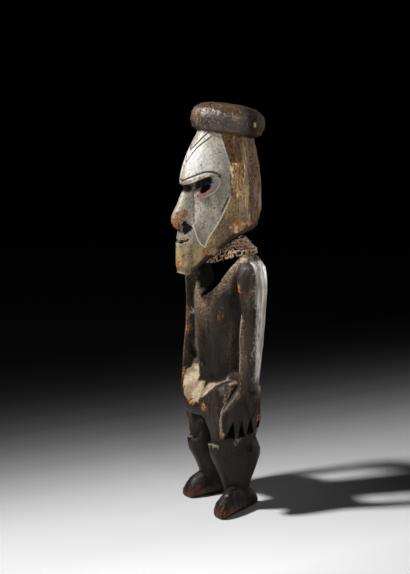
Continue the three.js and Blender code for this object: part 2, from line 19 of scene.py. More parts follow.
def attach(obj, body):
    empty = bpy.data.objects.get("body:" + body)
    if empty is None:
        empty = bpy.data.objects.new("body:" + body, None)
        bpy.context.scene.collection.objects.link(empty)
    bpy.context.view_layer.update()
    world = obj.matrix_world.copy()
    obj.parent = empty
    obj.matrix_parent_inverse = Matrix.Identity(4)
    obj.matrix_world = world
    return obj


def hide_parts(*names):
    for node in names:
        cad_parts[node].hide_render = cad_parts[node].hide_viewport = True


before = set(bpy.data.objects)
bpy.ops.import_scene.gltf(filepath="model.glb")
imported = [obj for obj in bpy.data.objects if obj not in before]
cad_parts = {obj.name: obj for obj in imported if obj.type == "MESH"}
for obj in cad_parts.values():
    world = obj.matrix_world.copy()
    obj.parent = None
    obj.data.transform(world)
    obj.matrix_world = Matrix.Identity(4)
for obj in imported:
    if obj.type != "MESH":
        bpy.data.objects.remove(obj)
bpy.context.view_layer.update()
scene = bpy.context.scene
print("nodes:", sorted(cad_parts))

# %% [markdown]
# ## The camera
#
# The photograph was taken from the figure's front left with a long lens, a
# little above its head, so upright lines stay nearly upright. Everything is in
# metres, with the figure's face towards -Y.

# %% Place the camera
EYE = Vector((1.6773, -1.0787, 0.680))
AIM = Vector((-0.0141, -0.0111, 0.3276))
LENS_MM = 86.0
SENSOR_MM = 36.0


def add(name, data):
    thing = bpy.data.objects.new(name, data)
    scene.collection.objects.link(thing)
    return thing


def look(thing, at, aim):
    """Puts a camera or a lamp in its place and turns it to a point."""
    thing.location = at
    thing.rotation_euler = (aim - Vector(at)).to_track_quat("-Z", "Y").to_euler()


camera_data = bpy.data.cameras.new("camera")
camera_data.lens = LENS_MM
camera_data.sensor_width = SENSOR_MM
scene.camera = add("camera", camera_data)
look(scene.camera, EYE, AIM)
print("camera to figure: %.2f m" % (AIM - EYE).length)

# %% [markdown]
# ## Helpers for materials
#
# `Recipe` adds the shader nodes of one material: noise, numbers stored on the
# points, masks made from both, and tones laid over each other through masks.

# %% Helpers for building a material
MIX_SOCKETS = {"RGBA": (6, 7, 2), "FLOAT": (2, 3, 0)}
BUMP_STRENGTH = 0.7


def tone(*parts):
    """A screen colour, 0 to 255, as the linear one that Blender mixes."""
    parts = [part / 255 for part in parts]
    linear = [part / 12.92 if part < 0.04045 else ((part + 0.055) / 1.055) ** 2.4 for part in parts]
    return (*linear, 1)


class Recipe:
    """Adds shader nodes to one material and joins them up."""

    def __init__(self, name):
        self.material = bpy.data.materials.new(name)
        self.material.use_nodes = True
        self.tree = self.material.node_tree
        self.place = self.node("TexCoord").outputs["Object"]

    def feed(self, socket, value):
        """Joins a socket to another one, or sets it. A colour socket is set to a tone."""
        if isinstance(value, bpy.types.NodeSocket):
            self.tree.links.new(value, socket)
        else:
            socket.default_value = tone(*value) if socket.type == "RGBA" else value

    def node(self, kind, *terms, **named):
        """A new node with its sockets filled, in order or by name."""
        node = self.tree.nodes.new("ShaderNode" + kind)
        for place, term in [*enumerate(terms), *named.items()]:
            self.feed(node.inputs[place], term)
        return node

    def maths(self, operation, *terms):
        node = self.node("Math", *terms)
        node.operation = operation
        return node.outputs[0]

    def noise(self, scale, detail=4.0, rough=0.55):
        """Noise on object coordinates. scale is bumps per metre along x, y and z."""
        place = self.node("Mapping", Vector=self.place, Scale=scale).outputs["Vector"]
        node = self.node("TexNoise", Vector=place, Scale=1.0, Detail=detail, Roughness=rough)
        return node.outputs["Fac"]

    def step(self, value, low, high, to_high=1.0, to_low=0.0):
        """A soft step over a pattern, from to_low up to to_high."""
        node = self.node("MapRange", value, low, high, to_low, to_high)
        node.interpolation_type = "SMOOTHSTEP"
        return node.outputs["Result"]

    def stored(self, name, strength=1.0):
        """One of the numbers stored on the points, times a strength."""
        node = self.node("Attribute")
        node.attribute_name = name
        return self.maths("MULTIPLY", node.outputs["Fac"], strength)

    def ragged(self, name, pattern, strength=1.0, soft=0.22):
        """A stored number with patchy edges: at 0.5, half of the surface is covered."""
        amount = self.stored(name)
        mixed = self.maths("ADD", amount, self.maths("MULTIPLY", self.maths("SUBTRACT", pattern, 0.5), 1.6))
        covered = self.step(mixed, 0.5 - soft, 0.5 + soft)
        gate = self.step(amount, 0.0, 0.12)
        return self.maths("MULTIPLY", self.maths("MULTIPLY", covered, gate), strength)

    def mix(self, share, below, above, kind="RGBA"):
        node = self.node("Mix", share)
        node.data_type = kind
        first, second, result = MIX_SOCKETS[kind]
        self.feed(node.inputs[first], below)
        self.feed(node.inputs[second], above)
        return node.outputs[result]

    def layers(self, base, finer, kind="RGBA"):
        """A tone or a number with others laid over it, each through its own mask."""
        for mask, above in finer:
            base = self.mix(mask, base, above, kind)
        return base

    def bump(self, height, distance):
        return self.node("Bump", Height=height, Strength=BUMP_STRENGTH, Distance=distance).outputs["Normal"]

    def put_on(self, thing, sockets):
        """Fills the surface's sockets and gives the material to a thing."""
        for name, value in sockets.items():
            self.feed(self.tree.nodes["Principled BSDF"].inputs[name], value)
        thing.data.materials.clear()
        thing.data.materials.append(self.material)


print("material helpers ready")

# %% [markdown]
# ## Floor and light
#
# The floor is plain pale paper that runs back into the dark. Its material carries painted shade for the
# light falling off, so it gets darker towards the figure's right. One small lamp high in front of the face
# does nearly all the lighting. Its place comes from the floor: a line from the top of the shadow through
# the top of the figure leads to it. Two strips behind the figure draw the bright edge down its left arm,
# and a third at its left lifts the side of the head. Their beams are narrow, so the shadow stays dark.

# %% Make the floor
FLOOR_WIDTH = 12.0
FLOOR_DROP = 0.0004
FADE_FROM, FADE_TO = -1.0, 0.27
# Paleness of the paper along x: painted shade where the light falls off into the dark.
PALENESS = {-1.0: 0.0, -0.8: 0.003, -0.7: 0.008, -0.6: 0.019, -0.5: 0.042, -0.4: 0.088, -0.3: 0.17,
            -0.2: 0.30, -0.1: 0.45, 0.0: 0.575, 0.1: 0.66, 0.27: 0.91}

bpy.ops.object.select_all(action="DESELECT")
bpy.ops.mesh.primitive_plane_add(size=FLOOR_WIDTH, location=(0, 0, -FLOOR_DROP))
floor = bpy.context.object
floor.name = "floor"

paper = Recipe("paper_floor")
apart = paper.node("SeparateXYZ", paper.place)
reach = paper.node("MapRange", apart.outputs["X"], FADE_FROM, FADE_TO)
fade = paper.node("ValToRGB", reach.outputs["Result"])
while len(fade.color_ramp.elements) < len(PALENESS):
    fade.color_ramp.elements.new(0.5)
for stop, (across, pale) in zip(fade.color_ramp.elements, sorted(PALENESS.items())):
    stop.position = (across - FADE_FROM) / (FADE_TO - FADE_FROM)
    stop.color = (pale, pale, pale, 1)
paper.put_on(floor, {"Base Color": fade.outputs["Color"], "Roughness": 0.75, "Specular IOR Level": 0.1})
print("floor made")

# %% Hang the lamps
# Place, height aimed at, size, power in watts, beam in degrees.
LAMPS = {
    "key": ((-0.305, -0.986, 1.435), 0.33, (0.16, 0.16), 42.0, 180),
    "side_strip": ((0.70, 1.10, 0.62), 0.42, (0.3, 0.4), 0.22, 36),
    "fill_strip": ((1.25, -0.32, 0.98), 0.46, (0.3, 0.4), 0.34, 34),
    "rim_strip": ((-0.22, 1.32, 0.60), 0.50, (0.35, 0.5), 0.7, 36),
}
for name, (at, aim_z, size, power, beam) in LAMPS.items():
    light = bpy.data.lights.new(name, "AREA")
    light.shape = "RECTANGLE"
    light.size, light.size_y = size
    light.energy = power
    light.spread = math.radians(beam)
    look(add(name, light), at, Vector((0, 0, aim_z)))

world = bpy.data.worlds.new("dark_room")
world.use_nodes = True
world.node_tree.nodes["Background"].inputs["Color"].default_value = (0.0, 0.0, 0.0, 1)
scene.world = world
scene.view_settings.view_transform = "Standard"
print("lamps:", ", ".join(LAMPS))

# %% [markdown]
# ## Helpers for working on one piece
#
# Blender's operators act on whatever is selected, so each step first selects
# one object alone. The carving is also moved point by point, and for that its
# points are read into an array in millimetres.

# %% Helpers: select, modify, read and write points
MM = 1000.0


def alone(thing):
    bpy.ops.object.select_all(action="DESELECT")
    thing.select_set(True)
    bpy.context.view_layer.objects.active = thing


def work(thing, kind, **settings):
    alone(thing)
    bpy.ops.object.modifier_add(type=kind)
    modifier = thing.modifiers[-1]
    for name, value in settings.items():
        setattr(modifier, name, value)
    bpy.ops.object.modifier_apply(modifier=modifier.name)


def edit(thing, operator, **settings):
    """Runs one operator in edit mode on all of a thing."""
    alone(thing)
    bpy.ops.object.mode_set(mode="EDIT")
    bpy.ops.mesh.select_all(action="SELECT")
    operator(**settings)
    bpy.ops.object.mode_set(mode="OBJECT")


def read(thing):
    flat = np.empty(3 * len(thing.data.vertices), np.float32)
    thing.data.vertices.foreach_get("co", flat)
    return flat.reshape(-1, 3).astype(float) * MM


def write(thing, points):
    thing.data.vertices.foreach_set("co", (points / MM).astype(np.float32).ravel())
    thing.data.update()


def edges_of(thing):
    flat = np.empty(2 * len(thing.data.edges), np.int32)
    thing.data.edges.foreach_get("vertices", flat)
    return flat.reshape(-1, 2)


def spread(values, edges, rounds):
    """Averages a value with its neighbours along the edges, a few times."""
    count = len(values)
    a, b = edges[:, 0], edges[:, 1]
    degree = np.bincount(a, minlength=count) + np.bincount(b, minlength=count)
    for _ in range(rounds):
        total = np.bincount(a, values[b], count) + np.bincount(b, values[a], count)
        values = 0.5 * values + 0.5 * total / degree
    return values


def most(*layers):
    """The strongest of several layers at each point."""
    return np.maximum.reduce(layers)


def ease(values, low, high):
    """0 below low, 1 above high, with a soft step between."""
    t = np.clip((values - low) / (high - low), 0, 1)
    return t * t * (3 - 2 * t)


def bell(distance, width):
    """1 at no distance, fading to nearly 0 at twice the width."""
    return np.exp(-(distance / width) ** 2)


# %% Helpers: repeatable noise
LATTICE_SIDE = 32
rng = np.random.default_rng(7)
LATTICE = rng.random((LATTICE_SIDE, LATTICE_SIDE, LATTICE_SIDE)) * 2 - 1


def noise(points, size):
    """Smooth noise from -1 to 1. size is the width of a bump in mm, or three widths."""
    place = points / np.asarray(size, float)
    cell = np.floor(place).astype(int)
    t = place - cell
    t = t * t * (3 - 2 * t)
    total = np.zeros(len(points))
    for corner in range(8):
        step = np.array([corner & 1, corner >> 1 & 1, corner >> 2 & 1])
        share = np.prod(np.where(step, t, 1 - t), axis=1)
        x, y, z = ((cell + step) % LATTICE_SIDE).T
        total += share * LATTICE[x, y, z]
    return total


# %% [markdown]
# ## Round the block
#
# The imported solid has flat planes, as wood has straight from the adze. Years of
# handling have melted the low edges between planes, while the brow, ears, hands
# and neckline are still crisp. So the block gets an even skin of small faces
# and is smoothed twice, a little and a lot. Where both versions nearly agree
# there was only a low edge, and the soft one is kept. Elsewhere there is a real
# edge, and the crisp one is kept.

# %% Copy the solid and give it an even skin
WELD_M = 0.00001
VOXEL_MM = 1.0

carving = add("carving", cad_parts["figure"].data.copy())
edit(carving, bpy.ops.mesh.remove_doubles, threshold=WELD_M)
work(carving, "REMESH", mode="VOXEL", voxel_size=VOXEL_MM / MM)
print("skin:", len(carving.data.vertices), "points")

# %% Melt the low edges and keep the crisp ones
LIGHT_ROUNDS = 4
HEAVY_ROUNDS = 90
LAST_ROUNDS = 3
LOW_EDGE_MM, REAL_EDGE_MM = 0.35, 0.9
CAP_TILT = 0.158

work(carving, "SMOOTH", factor=0.5, iterations=LIGHT_ROUNDS)
crisp = read(carving)
work(carving, "SMOOTH", factor=0.5, iterations=HEAVY_ROUNDS)
soft = read(carving)
edges = edges_of(carving)
moved = np.linalg.norm(soft - crisp, axis=1)
hold = ease(spread(moved, edges, 6), LOW_EDGE_MM, REAL_EDGE_MM)
x, y, z = crisp.T
cap_rim = ease(z + CAP_TILT * y, 555, 558)
fingers = (np.abs(x) > 66) & (z > 110) & (z < 148)
toes = (z < 30) * (y < -15)
calf = ease(z, 78, 84) * (1 - ease(z, 116, 124)) * ease(y, -14, -4) * (np.abs(x) < 67)
shoulder = (np.abs(x) > 54) * ease(z, 335, 345) * (z < 395) * (y > -30)
hold = most(hold, 0.85 * cap_rim, fingers, 0.8 * toes)
hold = hold * (1 - 0.95 * calf) * (1 - 0.85 * shoulder)
hold = spread(hold, edges, 6)[:, None]
write(carving, hold * crisp + (1 - hold) * soft)
work(carving, "SMOOTH", factor=0.5, iterations=LAST_ROUNDS)
print("kept crisp: %.0f%% of the skin" % (100 * float(hold.mean())))

# %% [markdown]
# ## Draw on the wood
#
# The fine carving is cut along lines. Each line is a few points set on the wood, in millimetres. The two
# halves of the head match, so its lines are drawn on the left half only, and every point of the skin is
# folded over to that half before it is measured. A cut then pushes the skin in along the line, and a raised
# edge pulls it out.

# %% Helpers: smooth lines, distance to a line, inside of an outline


def smooth_line(marks, closed=False, steps=6):
    """A smooth line through a few marks."""
    marks = np.asarray(marks, float)
    if closed:
        marks = np.vstack([marks[-1], marks, marks[:2]])
    else:
        marks = np.vstack([2 * marks[0] - marks[1], marks, 2 * marks[-1] - marks[-2]])
    line = []
    for a, b, c, d in zip(marks, marks[1:], marks[2:], marks[3:]):
        for t in np.arange(steps) / steps:
            bend = 2 * a - 5 * b + 4 * c - d
            line.append(0.5 * (2 * b + (c - a) * t + bend * t * t + (3 * b - a - 3 * c + d) * t ** 3))
    line.append(marks[-2])
    return np.array(line)


FAR = 99.0


class Skin:
    """The carving's points in mm, as they are and folded onto the left half."""

    def __init__(self, thing):
        self.place = read(thing)
        thing.data.update()
        normals = np.empty(3 * len(self.place), np.float32)
        thing.data.vertex_normals.foreach_get("vector", normals)
        self.facing = normals.reshape(-1, 3).astype(float)
        side = np.where(self.place[:, 0] < 0, -1.0, 1.0)
        self.folded = self.place.copy()
        self.folded[:, 0] *= side
        self.folded_facing = self.facing.copy()
        self.folded_facing[:, 0] *= side
        self.side = side

    def off_line(self, line, reach=8.0, fold=True):
        """How far each point lies from a line, measured across the wood."""
        points = self.folded if fold else self.place
        facing = self.folded_facing if fold else self.facing
        near = np.all((points > line.min(0) - reach) & (points < line.max(0) + reach), axis=1)
        p, n = points[near], facing[near]
        best = np.full(len(p), FAR)
        for a, b in zip(line, line[1:]):
            run = b - a
            t = np.clip((p - a) @ run / max(run @ run, 1e-9), 0, 1)
            gap = p - a - t[:, None] * run
            depth = np.sum(gap * n, axis=1)
            across = np.sqrt(np.maximum(np.sum(gap * gap, axis=1) - depth ** 2, 0))
            best = np.minimum(best, across + np.maximum(np.abs(depth) - 4, 0))
        result = np.full(len(points), FAR)
        result[near] = best
        return result

    def within(self, outline):
        """Distance inside a closed outline on the side of the head, negative outside it."""
        ring = np.vstack([outline, outline[:1]])
        points = self.folded
        off = self.off_line(ring)
        y, z = points[:, 1], points[:, 2]
        inside = np.zeros(len(points), bool)
        for a, b in zip(ring, ring[1:]):
            spans = (a[2] > z) != (b[2] > z)
            crossing = a[1] + (z - a[2]) * (b[1] - a[1]) / (b[2] - a[2] if b[2] != a[2] else 1e-9)
            inside ^= spans & (y < crossing)
        close = np.linalg.norm(points - ring.mean(0), axis=1) < np.ptp(ring, axis=0).max()
        return np.where(inside & close, np.minimum(off, 20), -off)

    def spot(self, centre, radius, fold=False, rough=0.35):
        """1 in the middle of a spot with a ragged edge, fading to 0 outside it."""
        points = self.folded if fold else self.place
        gap = np.linalg.norm((points - centre) / radius, axis=1)
        near = gap < 2.2
        ragged = np.zeros(len(points))
        ragged[near] = noise(points[near], np.mean(radius) * 0.45)
        return ease(1.25 - gap + rough * ragged, 0, 0.5)


print("drawing helpers ready")

# %% The lines of the face
CHEVRONS = [
    [(15.4, -22.7, 558.4), (11.2, -30.2, 550.9), (6.8, -39.0, 541.9), (0, -47.5, 533)],
    [(27.8, -17.0, 559.5), (16.7, -29.9, 545.4), (10.6, -40.1, 535.7), (4.3, -49.7, 521.6), (0, -54, 515)],
]
BROW_GROOVE = [(0, -60.5, 489), (5.6, -58.7, 490.7), (13.9, -53.7, 494.4), (20.8, -47.7, 497.9),
               (27.0, -36.4, 502.1), (32.0, -26.8, 502.0), (34.1, -19.1, 498.6), (32.4, -14.1, 493.9)]
BROW_LIP = [(0, -60, 485.5), (9, -56.5, 487), (18, -49, 491), (24, -39.5, 495), (28.5, -29, 497.5)]
SOCKET_SHADE = [(2, -58, 478), (12, -50, 478), (19, -40, 484), (24.5, -31, 489.5)]
NOSE_CREASE = [(10.0, -44.7, 484), (9.8, -45.2, 475.7), (10.2, -45.8, 465.7), (10.5, -45.7, 455.6),
               (12.3, -46.5, 445.7), (14.8, -47.5, 435.9), (16.2, -48.1, 429)]
EYE_RIM = [(11.1, -43.8, 467.5), (12.2, -42.4, 473.0), (16.7, -37.6, 480.8), (22.9, -31.2, 487.5),
           (28.1, -24.2, 491.9), (31.9, -17.7, 493.4), (32.8, -15.2, 490.7), (29.9, -15.1, 483.9),
           (27.7, -18.8, 476.3), (24.5, -24.5, 470.9), (20.3, -32.1, 467.1), (15.5, -39.4, 465.0)]
PUPIL_CENTRE = (23.6, -35.0, 478.6)
PUPIL_AXES = np.array([(8.9, 13.5, 9.8), (5.3, 4.3, -7.4)])
OCHRE_LINE = [(10.2, -45.0, 466.4), (15.5, -39.4, 466), (20.3, -32.1, 468.5)]
MOUTH = [(4.5, -65.5, 403.2), (9.0, -63.6, 402.4), (12.0, -60.4, 402.6), (14.4, -57.5, 404.6)]
MOUTH_EDGE = [(3, -66, 400.6), (9.0, -63.8, 399.6), (13.0, -60, 400.6)]
NOSTRIL = [(10.1, -64.2, 429.4), (10.8, -60.8, 432.6), (10.6, -55.6, 427.8), (15.7, -51.1, 423.7),
           (15.8, -52.4, 419.4), (10.4, -60.6, 411.7), (7.4, -62.6, 417.0), (4.1, -61.8, 423.1)]
FACE_RIDGE = [(28.6, -8.0, 546.3), (32.7, -4.1, 529.1), (35.1, -0.5, 516.2), (36.9, 1.0, 507.6),
              (37.3, 0.8, 490.2), (35.8, 1.3, 472.7)]
EAR = [(38.5, 2.0, 512.0), (42.5, 12, 512.5), (42.5, 21.2, 511.0), (42.5, 20.8, 489.6), (42.5, 11.8, 470.5),
       (37.2, 6.2, 464.2), (38.0, 0.9, 481.6)]
LIME_LINE = [(35.9, 1.3, 465.7), (34.2, -4.9, 452.1), (31.5, -13.4, 433.8), (27.7, -23.9, 416.5),
             (25.7, -30.4, 405.8), (24.3, -35.4, 393.9)]
LIME_SHORT = [(24.3, -35.4, 393.9), (22.1, -41.0, 398.4), (20.3, -45.0, 406.2), (17.1, -49.4, 421.5),
              (15.8, -50.4, 425.4)]
LIME_STEP = [(34.5, -1.6, 464.5), (33.2, -6.6, 454.5), (31.6, -11.5, 444)]
NAPE_CREASE = [(34.1, 30.3, 506.0), (33.0, 35.2, 479.3), (31.5, 38.6, 439.2), (31.0, 39.5, 430.2)]
JAW_Y = [-66.4, -59.4, -53.4, -34.4, -13.4, 4.6, 26.6, 46.6, 58.6, 68.6]
JAW_Z = [356, 353, 356, 371.5, 387.5, 401, 411, 414, 420, 430]
PIN_HOLES = [(10.1, -27.3, 556.8), (6.8, -56.1, 470.6), (9.0, -64.7, 380.2), (22.9, -27.7, 462.9),
             (27.5, -20.7, 449.2), (27.5, -22.9, 433.4), (22.2, -37.2, 421.6), (32.3, -11.5, 433.1),
             (22, -40, 512), (30, -14, 530)]
EYE_OUTLINE = smooth_line(EYE_RIM, closed=True)
NOSTRIL_OUTLINE = smooth_line(NOSTRIL, closed=True)
EAR_OUTLINE = smooth_line(EAR, closed=True)
print("marks on the face:", len(PIN_HOLES), "pin holes and", len(CHEVRONS), "chevrons")

# %% The lines of the body
ARM_CRACK = [(83.7, 0.3, 316.9), (87.1, 3.8, 307.4), (89.4, 8.0, 299.6)]
WRIST_LINE = [(79.5, -2.8, 187.5), (83.4, 3.8, 187.0), (82.4, 15.1, 184.5)]
FAR_CUFF = [(-75.7, -13.7, 177.6), (-60, -21, 181), (-44.5, -27.4, 185.9)]
NAVEL_CENTRE = (0.5, -26.0, 218.0)
NAVEL_RADIUS = 6.0
GAP_TIPS = [(-22.4, 142), (-7.4, 140), (8.6, 143), (22.1, 140)]
GAP_FEET = [(-40.4, -19.4), (-14.4, -1.4), (-1.4, 14.6), (15.6, 25.6)]
GAP_FOOT_Z = 112.0
RIGHT_HAND_BACK = 17.0
RIGHT_TOES_SHIFT = (-108.4, 12, 0)
LEFT_TOE_LINES = [
    [(56, -41, 1), (56, -40.4, 7), (56.3, -36, 18), (57, -30, 26)],
    [(64, -42.5, 1), (64.1, -42, 8), (64.2, -38, 19), (64.5, -30, 29)],
    [(72, -42.5, 1), (72, -42, 8), (71.8, -38, 19), (71.3, -30, 28)],
    [(80, -40.8, 1), (80, -40.4, 6), (79.5, -36, 15), (78, -30, 22)],
]
TOE_LINES = [np.array(line) + shift for line in LEFT_TOE_LINES for shift in ((0, 0, 0), RIGHT_TOES_SHIFT)]
THUMB_EDGE = [(62.5, -13.4, 190.3), (63.9, -24.1, 171.9), (71.4, -36.7, 160.3), (74.6, -40.7, 144.8),
              (75.2, -39.1, 127.1)]
KNEE_LEDGE = [(47.1, -28.7, 100.6), (39.4, -31.6, 101.7), (28, -29, 101.5)]
FAR_KNEE_LEDGE = [(-45.3, -20.5, 92), (-27.7, -21.2, 92), (-22.4, -18.5, 92)]
STREAK_RUN = [(0, 0, 0), (-1.5, 0.4, -5), (-2.5, 1, -13)]
KNEE_STREAKS = [np.array(STREAK_RUN) + (60.5, -14 + 5 * k, 112 - 1.5 * (k % 3)) for k in range(9)]
ARM_EDGE = [(74.5, -8, 300), (72.8, -7.4, 277), (73.4, -6.8, 255), (72.7, -6.3, 233),
            (72.5, -6.5, 211), (68, -8, 198)]
HEEL_GLINT = [(58.1, 16.2, 30.2), (54.9, 24.5, 24.3), (52.3, 34.4, 16.5)]
FLANK = [(39.5, 8, 285), (37.5, 3, 267), (36.4, 2, 248), (36.8, 3, 230), (37, 3.5, 218), (40, 3, 205)]
NECKLINE = [(9.5, -27.9, 322), (19, -26, 328), (30, -18.9, 339), (35, -12.6, 349), (41, -7.4, 359),
            (46, -1.9, 369), (50, 1.1, 376)]
LAP_TOP_X = [-30, -24, -20, -5, 10, 21, 36, 44]
LAP_TOP_Z = [205, 203, 189.5, 189.2, 189.4, 192, 195.5, 198]
LAP_LOW_X = [-28, -12, 5, 15, 20, 25, 31, 38, 44]
LAP_LOW_Z = [150, 154, 158, 166, 174, 181, 187, 192, 196]
BOWL_Z = [315, 335, 362, 380]
BOWL_Y = [-25.5, -25, -18, -2]
FAR_RIM_X = [-75, -60, -37.5, -20, 0, 2]
FAR_RIM_Z = [316, 316, 319, 318, 316, 400]
CHECKS = [
    [(-37.5, 12, 530), (-38.5, 14, 492), (-38.2, 12, 470)],
    [(-30, 44, 500), (-31, 43, 455)],
    [(8, 66, 520), (6, 68, 480), (9, 66, 446)],
    [(-20, 38, 330), (-18, 36, 290), (-21, 35, 262)],
    [(26, 37, 300), (24, 36, 250)],
    [(62, 38, 150), (63, 40, 110), (61, 38, 70)],
    [(-58, 42, 135), (-57, 41, 88)],
    [(88, 15, 350), (87, 16, 300), (86, 14, 262)],
    [(-86, 12, 345), (-86, 14, 290)],
]
print("drying cracks:", len(CHECKS))

# %% [markdown]
# ## Cut the lines and leave the tool marks
#
# A carver works over the whole block with short strokes. Each leaves a small
# flat facet, and rubbing softens the ridges between them. So facets are laid
# over the skin from scattered middles: each point moves a little towards the
# flat plane of its nearest middle. Grain is added as low ripples that run up
# and down, and the drawn lines are cut last, so that they stay clean.

# %% Lay small flat facets over the skin
FACET_MM = 13.0
FACET_STRETCH = np.array([1.0, 1.0, 0.55])
FACET_TRIES = 60000
FACET_TILT = 0.03
FACET_DEPTH = 0.9
FACET_SHARE = 0.8

skin = Skin(carving)
x, y, z = skin.place.T
stretched = skin.place * FACET_STRETCH
middles = {}
for index in rng.permutation(len(stretched))[:FACET_TRIES]:
    cell = tuple((stretched[index] // FACET_MM).astype(int))
    middles.setdefault(cell, index)
middles = np.array(list(middles.values()))
tree = KDTree(len(middles))
for row, index in enumerate(middles):
    tree.insert(stretched[index], row)
tree.balance()
nearest = np.array([tree.find(point)[1] for point in stretched])
tilt = skin.facing[middles] + rng.normal(0, FACET_TILT, (len(middles), 3))
tilt /= np.linalg.norm(tilt, axis=1)[:, None]
plane = tilt[nearest]
to_plane = np.sum((skin.place[middles][nearest] - skin.place) * plane, axis=1)
same_side = np.sum(plane * skin.facing, axis=1)
facet = np.clip(to_plane, -FACET_DEPTH, FACET_DEPTH) * ease(same_side, 0.75, 0.93)

# The cap, the arms and the back show their facets most, and the face least.
on_cap = ease(z, 556, 562)
on_arms = np.abs(x) > 52
on_back = y > 25
on_face = ease(z, 352, 365) * (1 - ease(z, 552, 558)) * (y < 0)
tooled = 0.35 + 0.8 * on_cap + 0.3 * on_arms + 0.3 * on_back
tooled *= 1 - 0.7 * on_face
push = facet * tooled * FACET_SHARE
print("facets:", len(middles))

# %% Ripple the grain
GRAIN_RIPPLES = [(0.22, 0, (11, 11, 26)), (0.12, 40, (3.5, 3.5, 17)), (0.07, 90, (2.2, 2.2, 5))]
for height, shift, size in GRAIN_RIPPLES:
    push += height * noise(skin.place + shift, size)
print("grain ripples:", len(GRAIN_RIPPLES))

# %% Helpers: a knife cut and the places that are measured twice


def cut(line, width, depth, fold=True):
    """Pushes the skin in along a line. A depth below zero raises it."""
    return -depth * bell(skin.off_line(line, 5 * width, fold), width)


def over_jaw():
    """Height in mm over the line of the jaw."""
    return skin.place[:, 2] - np.interp(skin.place[:, 1], JAW_Y, JAW_Z)


def pupil_reach():
    """1 at the pupil's edge and smaller inside it."""
    gap = skin.folded - PUPIL_CENTRE
    long_way, short_way = [gap @ axis / (axis @ axis) for axis in PUPIL_AXES / 2]
    across = np.sqrt(long_way ** 2 + short_way ** 2)
    return np.where(np.linalg.norm(gap, axis=1) < 14, across, 9.0)


def pin_gap():
    """How far each point is from the nearest pin hole."""
    return np.min([np.linalg.norm(skin.folded - hole, axis=1) for hole in PIN_HOLES], axis=0)


# %% Cut the lines of the face
# Each row has a line, the cut's width and its depth, all in mm.
FACE_CUTS = [
    (CHEVRONS[0], 0.8, 1.2), (CHEVRONS[1], 0.8, 1.2), (BROW_GROOVE, 1.0, 1.6), (SOCKET_SHADE, 5.0, 2.6),
    (NOSE_CREASE, 1.3, 1.1), (MOUTH, 1.1, 1.7), (MOUTH_EDGE, 1.4, -0.5), (LIME_LINE, 0.8, -0.3),
    (LIME_SHORT, 0.8, -0.3), (LIME_STEP, 1.3, 1.1), (FACE_RIDGE, 1.1, -0.35), (NAPE_CREASE, 1.6, 0.9),
]
JAW_DEPTH, JAW_HEIGHT = 2.4, 13
EYE_RIM_HEIGHT = 0.75
EYE_DEPTH = 0.5
PUPIL_DEPTH = 2.6
EAR_FIBRE_HEIGHT = 2.4
EAR_FRONT_HEIGHT = 0.9
PIN_DEPTH, FAR_PIN_DEPTH = 1.2, 0.48

for line, width, depth in FACE_CUTS:
    push += cut(smooth_line(line), width, depth)
above_jaw = over_jaw()
on_head = (np.abs(x) < 43) & (above_jaw > -3)
jaw_slope = (1 - ease(above_jaw, 0, JAW_HEIGHT)) * (np.abs(skin.facing[:, 2]) < 0.6)
push -= JAW_DEPTH * on_head * jaw_slope
inside_eye = skin.within(EYE_OUTLINE)
push += EYE_RIM_HEIGHT * bell(inside_eye, 1.0)
push -= EYE_DEPTH * ease(inside_eye, 0.8, 2.5)
push -= PUPIL_DEPTH * (1 - ease(pupil_reach(), 0.55, 1.1))
ear_depth = skin.within(EAR_OUTLINE)
ear_fibres = 0.6 * noise(skin.place, (3, 2.2, 9)) + 0.4 * noise(skin.place + 30, (2, 1.4, 5))
ear_front = skin.folded[:, 0] < 41
push += ease(ear_depth, 0, 1.5) * (EAR_FIBRE_HEIGHT * ear_fibres + EAR_FRONT_HEIGHT * ear_front)
push -= np.where(skin.side > 0, PIN_DEPTH, FAR_PIN_DEPTH) * bell(pin_gap(), 1.0)
print("cuts on the face:", len(FACE_CUTS))

# %% Cut the lines of the body
BODY_CUTS = [(ARM_CRACK, 1.2, 0.9), (WRIST_LINE, 0.9, 0.9), (FAR_CUFF, 1.0, 0.7), (THUMB_EDGE, 1.8, -0.9)]
TOE_WIDTH, TOE_DEPTH = 0.9, 0.8
CHECK_WIDTH, CHECK_DEPTH, CHECK_SWAY = 0.7, 1.2, 0.8
NAVEL_HEIGHT, NAVEL_DEPTH = 1.1, 2.2
SOLE_ROUNDING = 1.3

for line, width, depth in BODY_CUTS:
    push += cut(smooth_line(line), width, depth, fold=False)
navel_gap = np.linalg.norm((skin.place - NAVEL_CENTRE) * (1, 1, 0.9), axis=1)
push += NAVEL_HEIGHT * bell(navel_gap - NAVEL_RADIUS, 1.1)
push -= NAVEL_DEPTH * bell(navel_gap, 3.2)
for line in TOE_LINES:
    push += cut(smooth_line(line), TOE_WIDTH, TOE_DEPTH, fold=False)
push -= SOLE_ROUNDING * (1 - ease(z, 0, 8)) * (1 - np.abs(skin.facing[:, 2]))
for line in CHECKS:
    bent = smooth_line(line, steps=10)
    bent[:, 1] += CHECK_SWAY * np.sin(np.arange(len(bent)) * 1.7)
    push += cut(bent, CHECK_WIDTH, CHECK_DEPTH, fold=False)
write(carving, skin.place + push[:, None] * skin.facing)
work(carving, "SMOOTH", factor=0.3, iterations=1)
print("deepest cut: %.1f mm" % -push.min())

# %% [markdown]
# ## Fewer faces where nothing happens
#
# The skin has far more faces than a shared part may have. Decimate takes out
# the ones that matter least. A vertex group tells it where to hold back: along
# the drawn lines and in the eyes every point is kept.

